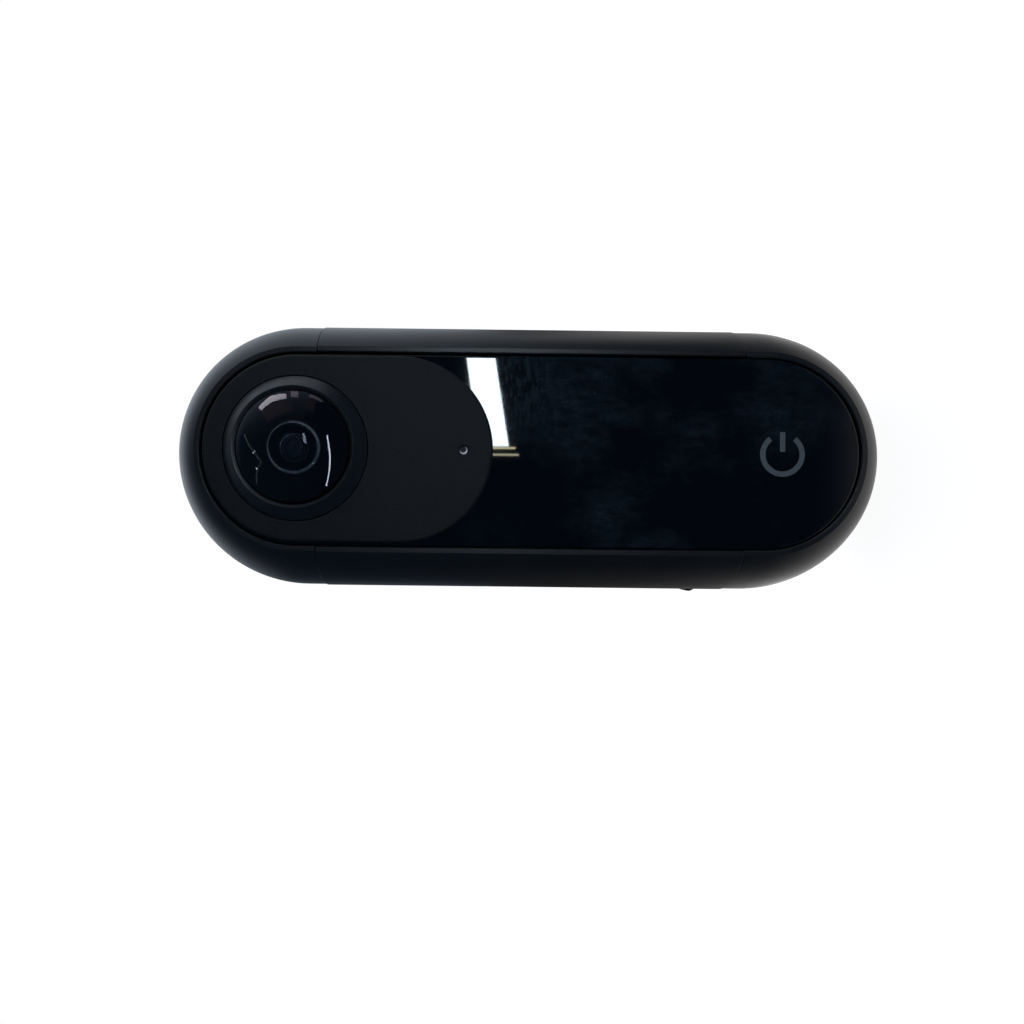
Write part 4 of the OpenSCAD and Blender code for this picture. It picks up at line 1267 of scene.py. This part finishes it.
class ShapeWindows(bpy.types.Operator):
    """Make both indicator windows with a lens-like end."""

    bl_idname = "pocket_camera.shape_windows"
    bl_label = "Make the indicator windows"

    def execute(self, context):
        for side, sign in SIDES:
            base, face, r = depths(side + "_indicator_window")
            outline = [(0, base), (r, base), (r, face - 0.1)]
            for cos, _ in quarter(6):
                outline.append((r * cos, face - 0.1 - 0.2 * (1 - cos)))
            height = middle(side + "_indicator_window").z
            new_piece(side + "_window", lathe(outline, height, sign, 48),
                      "camera", "window", window_plastic(), side + "_indicator_window")
        return {"FINISHED"}


class ShapeScrews(bpy.types.Operator):
    """Make the small cross-recessed screws."""

    bl_idname = "pocket_camera.shape_screws"
    bl_label = "Make the screws"

    def execute(self, context):
        screws = self.tree()
        for node, side in (("board_screws", 1), ("guide_screws", 1), ("lens_block_screws", -1)):
            solids = lumps(node)
            low, high = solids[0]
            head = looks().screw_head / MM
            depth = high.y - low.y
            points = [((a.x + b.x) / 2, a.y + head if side > 0 else b.y - head,
                       (a.z + b.z) / 2) for a, b in solids]
            mesh = screws.on(points, head_radius=(high.x - low.x) / 2, head_height=head,
                             shank_radius=0.62,
                             shank_length=depth - head, recess=1.5, turn=side * math.pi / 2)
            new_piece("cross_" + node, smoothed(mesh, 40), "camera", "steel", bright_steel(), node)
        return {"FINISHED"}

    def tree(self):
        """A pan-head screw: a drum whose top steps in, a shank with a point, and a cross recess."""
        s = Shape("cross_screw", "Head Radius", "Head Height", "Shank Radius", "Shank Length",
                  "Recess")
        wide, tall, shank, deep, recess = s.sizes
        mesh = s.node("GeometryNodeMeshCylinder", {"fill_type": "NGON"},
                      {"Vertices": 40, "Radius": wide, "Depth": tall * 0.5})
        top, foot = mesh.of("Top"), mesh.of("Bottom")
        for rise, scale in ((0.25, 0.96), (0.15, 0.92), (0.1, 0.85)):
            mesh, top = s.grow(mesh, top, tall * rise, scale)
        mesh, foot = s.grow(mesh, foot, 0.0, shank / wide)
        mesh, foot = s.grow(mesh, foot, deep * 0.85)
        mesh, foot = s.grow(mesh, foot, deep * 0.15, 0.7)
        cross = [s.block(recess, recess * 0.22, tall, tall * 0.25),
                 s.block(recess * 0.22, recess, tall, tall * 0.25)]
        mesh = s.node("GeometryNodeMeshBoolean", {"operation": "DIFFERENCE", "solver": "EXACT"},
                      {"Mesh 1": mesh, "Mesh 2": cross})
        return s.done(s.moved(mesh, s.vector(z=tall * 0.25)), bright_steel())


class ShapeContacts(bpy.types.Operator):
    """Make the rows of gold contacts on the phone plug."""

    bl_idname = "pocket_camera.shape_contacts"
    bl_label = "Make the plug's contacts"

    def execute(self, context):
        bars = contact_bars()
        solids = lumps("plug_contacts")
        low, high = box_mm("plug_contacts")
        first = solids[0]
        count = len(solids) // 2
        width = first[1].z - first[0].z
        pitch = (high.z - low.z - width) / (count - 1)
        rows = [bars.on([((low.x + high.x) / 2, y, (low.z + high.z) / 2)], count=count, pitch=pitch,
                        length=high.x - low.x, width=width, height=0.05, turn=turn)
                for y, turn in ((low.y + 0.05, math.pi / 2), (high.y - 0.05, -math.pi / 2))]
        new_piece("gold_plug_contacts", together(rows), "phone_plug", "gold", gold_plate(),
                  "plug_contacts")
        return {"FINISHED"}


def contact_bars():
    """Gold bars in a row, each with broken edges."""
    s = Shape("contact_bars", "Count", "Pitch", "Length", "Width", "Height")
    count, pitch, length, width, height = s.sizes
    mesh, top = s.grow(s.block(length, width, height * 0.5), s.upper(), height * 0.5, 0.93)
    row = s.row(mesh, count, s.vector(y=(count - 1) * pitch * -0.5), s.vector(y=pitch))
    return s.done(row, gold_plate())


class ShapeSockets(bpy.types.Operator):
    """Make the USB port and the memory card socket."""

    bl_idname = "pocket_camera.shape_sockets"
    bl_label = "Make the sockets"

    def execute(self, context):
        bars = contact_bars()
        low, high = box_mm("usb_port")
        mid_y, mid_z = (low.y + high.y) / 2, (low.z + high.z) / 2
        half_y, half_z = (high.y - low.y) / 2, (high.z - low.z) / 2
        shell = bar(slab(low.y, high.y, low.z, high.z, 0.3), low.x, high.x)
        mouth = rounded([
            (mid_y - half_y + 0.3, mid_z - half_z + 0.3, 0.25), (mid_y + half_y - 0.3,
                                                                 mid_z - half_z + 0.95, 0.25),
            (mid_y + half_y - 0.3, mid_z + half_z - 0.95, 0.25), (mid_y - half_y + 0.3,
                                                                  mid_z + half_z - 0.3, 0.25)])
        new_piece("usb_shell", cut(shell, bar(mouth, low.x + 0.5, high.x + 1)), "camera", "plated",
                  nickel_plate(), "usb_port")
        tongue = bar(slab(mid_y + 0.05, mid_y + 0.5, mid_z - 1.9, mid_z + 1.9, 0.12), low.x + 0.4,
                     high.x - 0.9)
        new_piece("usb_tongue", tongue, "camera", "moulding", dark_moulding())
        pins = bars.on([((low.x + high.x) / 2 - 0.2, mid_y + 0.06, mid_z)], count=5, pitch=0.65,
                       length=3.4,
                       width=0.3, height=0.09, turn=math.pi / 2)
        new_piece("usb_contacts", smoothed(pins), "camera", "gold", gold_plate())
        self.card_socket(bars)
        return {"FINISHED"}

    def card_socket(self, bars):
        low, high = box_mm("card_socket")
        mid_z = (low.z + high.z) / 2
        shell = bar(slab(low.y, high.y, low.z, high.z, 0.12), low.x, high.x)
        mouth = bar(slab(low.y + 0.2, high.y - 0.2, low.z + 0.2, high.z - 0.2, 0.1), low.x + 0.4,
                    high.x + 1)
        springs = [bar(slab(high.y - 0.5, high.y + 1, z - 0.5, z + 0.5, 0.1), low.x + 3.5,
                       low.x + 9)
                   for z in (mid_z - 3.4, mid_z, mid_z + 3.4)]
        new_piece("card_shell", cut(shell, mouth, *springs), "camera", "steel", bright_steel(),
                  "card_socket")
        pins = bars.on([(low.x + 2.8, low.y + 0.24, mid_z)], count=8, pitch=1.1, length=3.6,
                       width=0.6,
                       height=0.12, turn=-math.pi / 2)
        new_piece("card_contacts", smoothed(pins), "camera", "gold", gold_plate())


class ShapeChips(bpy.types.Operator):
    """Make the board's chips, with a row of leads along each side."""

    bl_idname = "pocket_camera.shape_chips"
    bl_label = "Make the chips"

    def execute(self, context):
        bodies, leads = self.bodies(), self.leads()
        made = {"bodies": [], "leads": []}
        for low, high in lumps("board_chips"):
            points = [((low.x + high.x) / 2, high.y, (low.z + high.z) / 2)]
            sizes = {"across": high.x - low.x, "along": high.z - low.z, "height": high.y - low.y,
                     "reach": 0.35,
                     "turn": math.pi / 2}
            made["bodies"].append(bodies.on(points, **sizes))
            made["leads"].append(leads.on(points, pitch=0.65, width=0.24, **sizes))
        new_piece("chip_bodies", together(made["bodies"]), "camera", "chip", moulded_chip(),
                  "board_chips")
        new_piece("chip_leads", together(made["leads"]), "camera", "plated", nickel_plate())
        return {"FINISHED"}

    def bodies(self):
        """A moulded body that narrows above and below its parting line."""
        s = Shape("chip_body", "Across", "Along", "Height", "Reach")
        across, along, height, reach = s.sizes
        mesh = s.block(across - reach * 2, along - reach * 2, height * 0.35, height * 0.1)
        mesh, top = s.grow(mesh, s.upper(), height * 0.5, 0.97)
        mesh, top = s.grow(mesh, top, height * 0.05, 0.98)
        return s.done(mesh, moulded_chip())

    def leads(self):
        """Bent leads on four sides, as many as their pitch gives room for."""
        s = Shape("chip_leads", "Across", "Along", "Height", "Reach", "Pitch", "Width")
        across, along, height, reach, pitch, width = s.sizes
        rise = height * 0.4
        bend = s.node("GeometryNodeCurvePrimitiveBezierSegment", inputs={
            "Resolution": 6, "Start": s.vector(z=rise), "Start Handle": s.vector(x=reach * 0.75,
                                                                                 z=rise),
            "End Handle": s.vector(x=reach * 0.25, z=width * 0.3), "End": s.vector(x=reach * 0.98,
                                                                                   z=width * 0.3)})
        strip = s.node("GeometryNodeCurvePrimitiveQuadrilateral",
                       inputs={"Width": width, "Height": width * 0.5})
        lead = s.node("GeometryNodeCurveToMesh",
                      inputs={"Curve": bend, "Profile Curve": strip, "Fill Caps": True})
        sides = []
        for k in range(4):
            run, out = (along, across) if k % 2 == 0 else (across, along)
            count = ((run - reach * 2 - pitch) / pitch).one("FLOOR")
            start = s.vector(out * 0.5 - reach, (count - 1) * pitch * -0.5)
            sides.append(s.moved(s.row(lead, count, start, s.vector(y=pitch)),
                                 turn=(0, 0, k * math.pi / 2)))
        return s.done(s.join(*sides), nickel_plate())


class PrintMark(bpy.types.Operator):
    """Print a plain power mark on the front glass."""

    bl_idname = "pocket_camera.print_mark"
    bl_label = "Print the power mark"

    def execute(self, context):
        size = looks()
        build = bmesh.new()
        height = 15.0
        face = GLASS_Y / MM + 0.004
        half = size.mark_width / MM / 2
        thick = size.mark_line / MM
        gap = math.radians(38)
        steps = 64
        ring = []
        for k in range(steps + 1):
            a = gap + (2 * math.pi - 2 * gap) * k / steps
            ring.append([(r * math.cos(a), r * math.sin(a)) for r in (half, half - thick)])
        strips = [ring, [[(half, s * thick / 2) for s in (-1, 1)],
                         [(half * 0.12, s * thick / 2) for s in (-1, 1)]]]
        for strip in strips:
            layers = [[[build.verts.new((x * MM, -depth * MM, (height + z) * MM)) for x, z in pair]
                       for pair in strip] for depth in (face - 0.012, face)]
            low, high = layers
            for (a, b), (c, d), (e, f), (g, h) in zip(low, low[1:], high, high[1:]):
                build.faces.new((a, b, d, c))
                build.faces.new((e, f, h, g))
                build.faces.new((a, c, g, e))
                build.faces.new((b, d, h, f))
            for low_end, high_end in ((low[0], high[0]), (low[-1], high[-1])):
                build.faces.new((low_end[0], low_end[1], high_end[1], high_end[0]))
        new_piece("power_mark", as_mesh(build), "camera", "glass_black", mark_ink())
        return {"FINISHED"}


class CameraPanel(bpy.types.Panel):
    """Lists the operators and the settings in the sidebar."""

    bl_idname = "VIEW3D_PT_pocket_camera"
    bl_label = "Pocket camera"
    bl_space_type = "VIEW_3D"
    bl_region_type = "UI"
    bl_category = "Pocket camera"

    def draw(self, context):
        for operator in OPERATORS:
            self.layout.operator(operator.bl_idname)
        for name in ("band_colour", "cover_colour", "glass_colour", "mark_width", "mark_line",
                     "ridge_shift", "screw_head"):
            self.layout.prop(looks(), name)
        for name in ("eye", "roll", "focal", "shift_x", "shift_y", "sky"):
            self.layout.prop(context.scene.camera_stage, name)


OPERATORS = (BuildStage, DressNodes, ShapeRings, ShapeLenses, ShapePanels, ShapeButton, ShapeSlider,
             ShapeInsert,
             ShapeWindows, ShapeScrews, ShapeContacts, ShapeSockets, ShapeChips, PrintMark)
CLASSES = (CameraLooks, CameraStage, *OPERATORS, CameraPanel)


def register():
    for cls in CLASSES:
        bpy.utils.register_class(cls)
    bpy.types.Scene.camera_looks = PointerProperty(type=CameraLooks)
    bpy.types.Scene.camera_stage = PointerProperty(type=CameraStage)


def unregister():
    del bpy.types.Scene.camera_stage
    del bpy.types.Scene.camera_looks
    for cls in reversed(CLASSES):
        bpy.utils.unregister_class(cls)


def main():
    register()
    bpy.context.scene.view_settings.view_transform = "Standard"
    for operator in OPERATORS:
        area, name = operator.bl_idname.split(".")
        getattr(getattr(bpy.ops, area), name)()


if __name__ == "__main__":
    main()
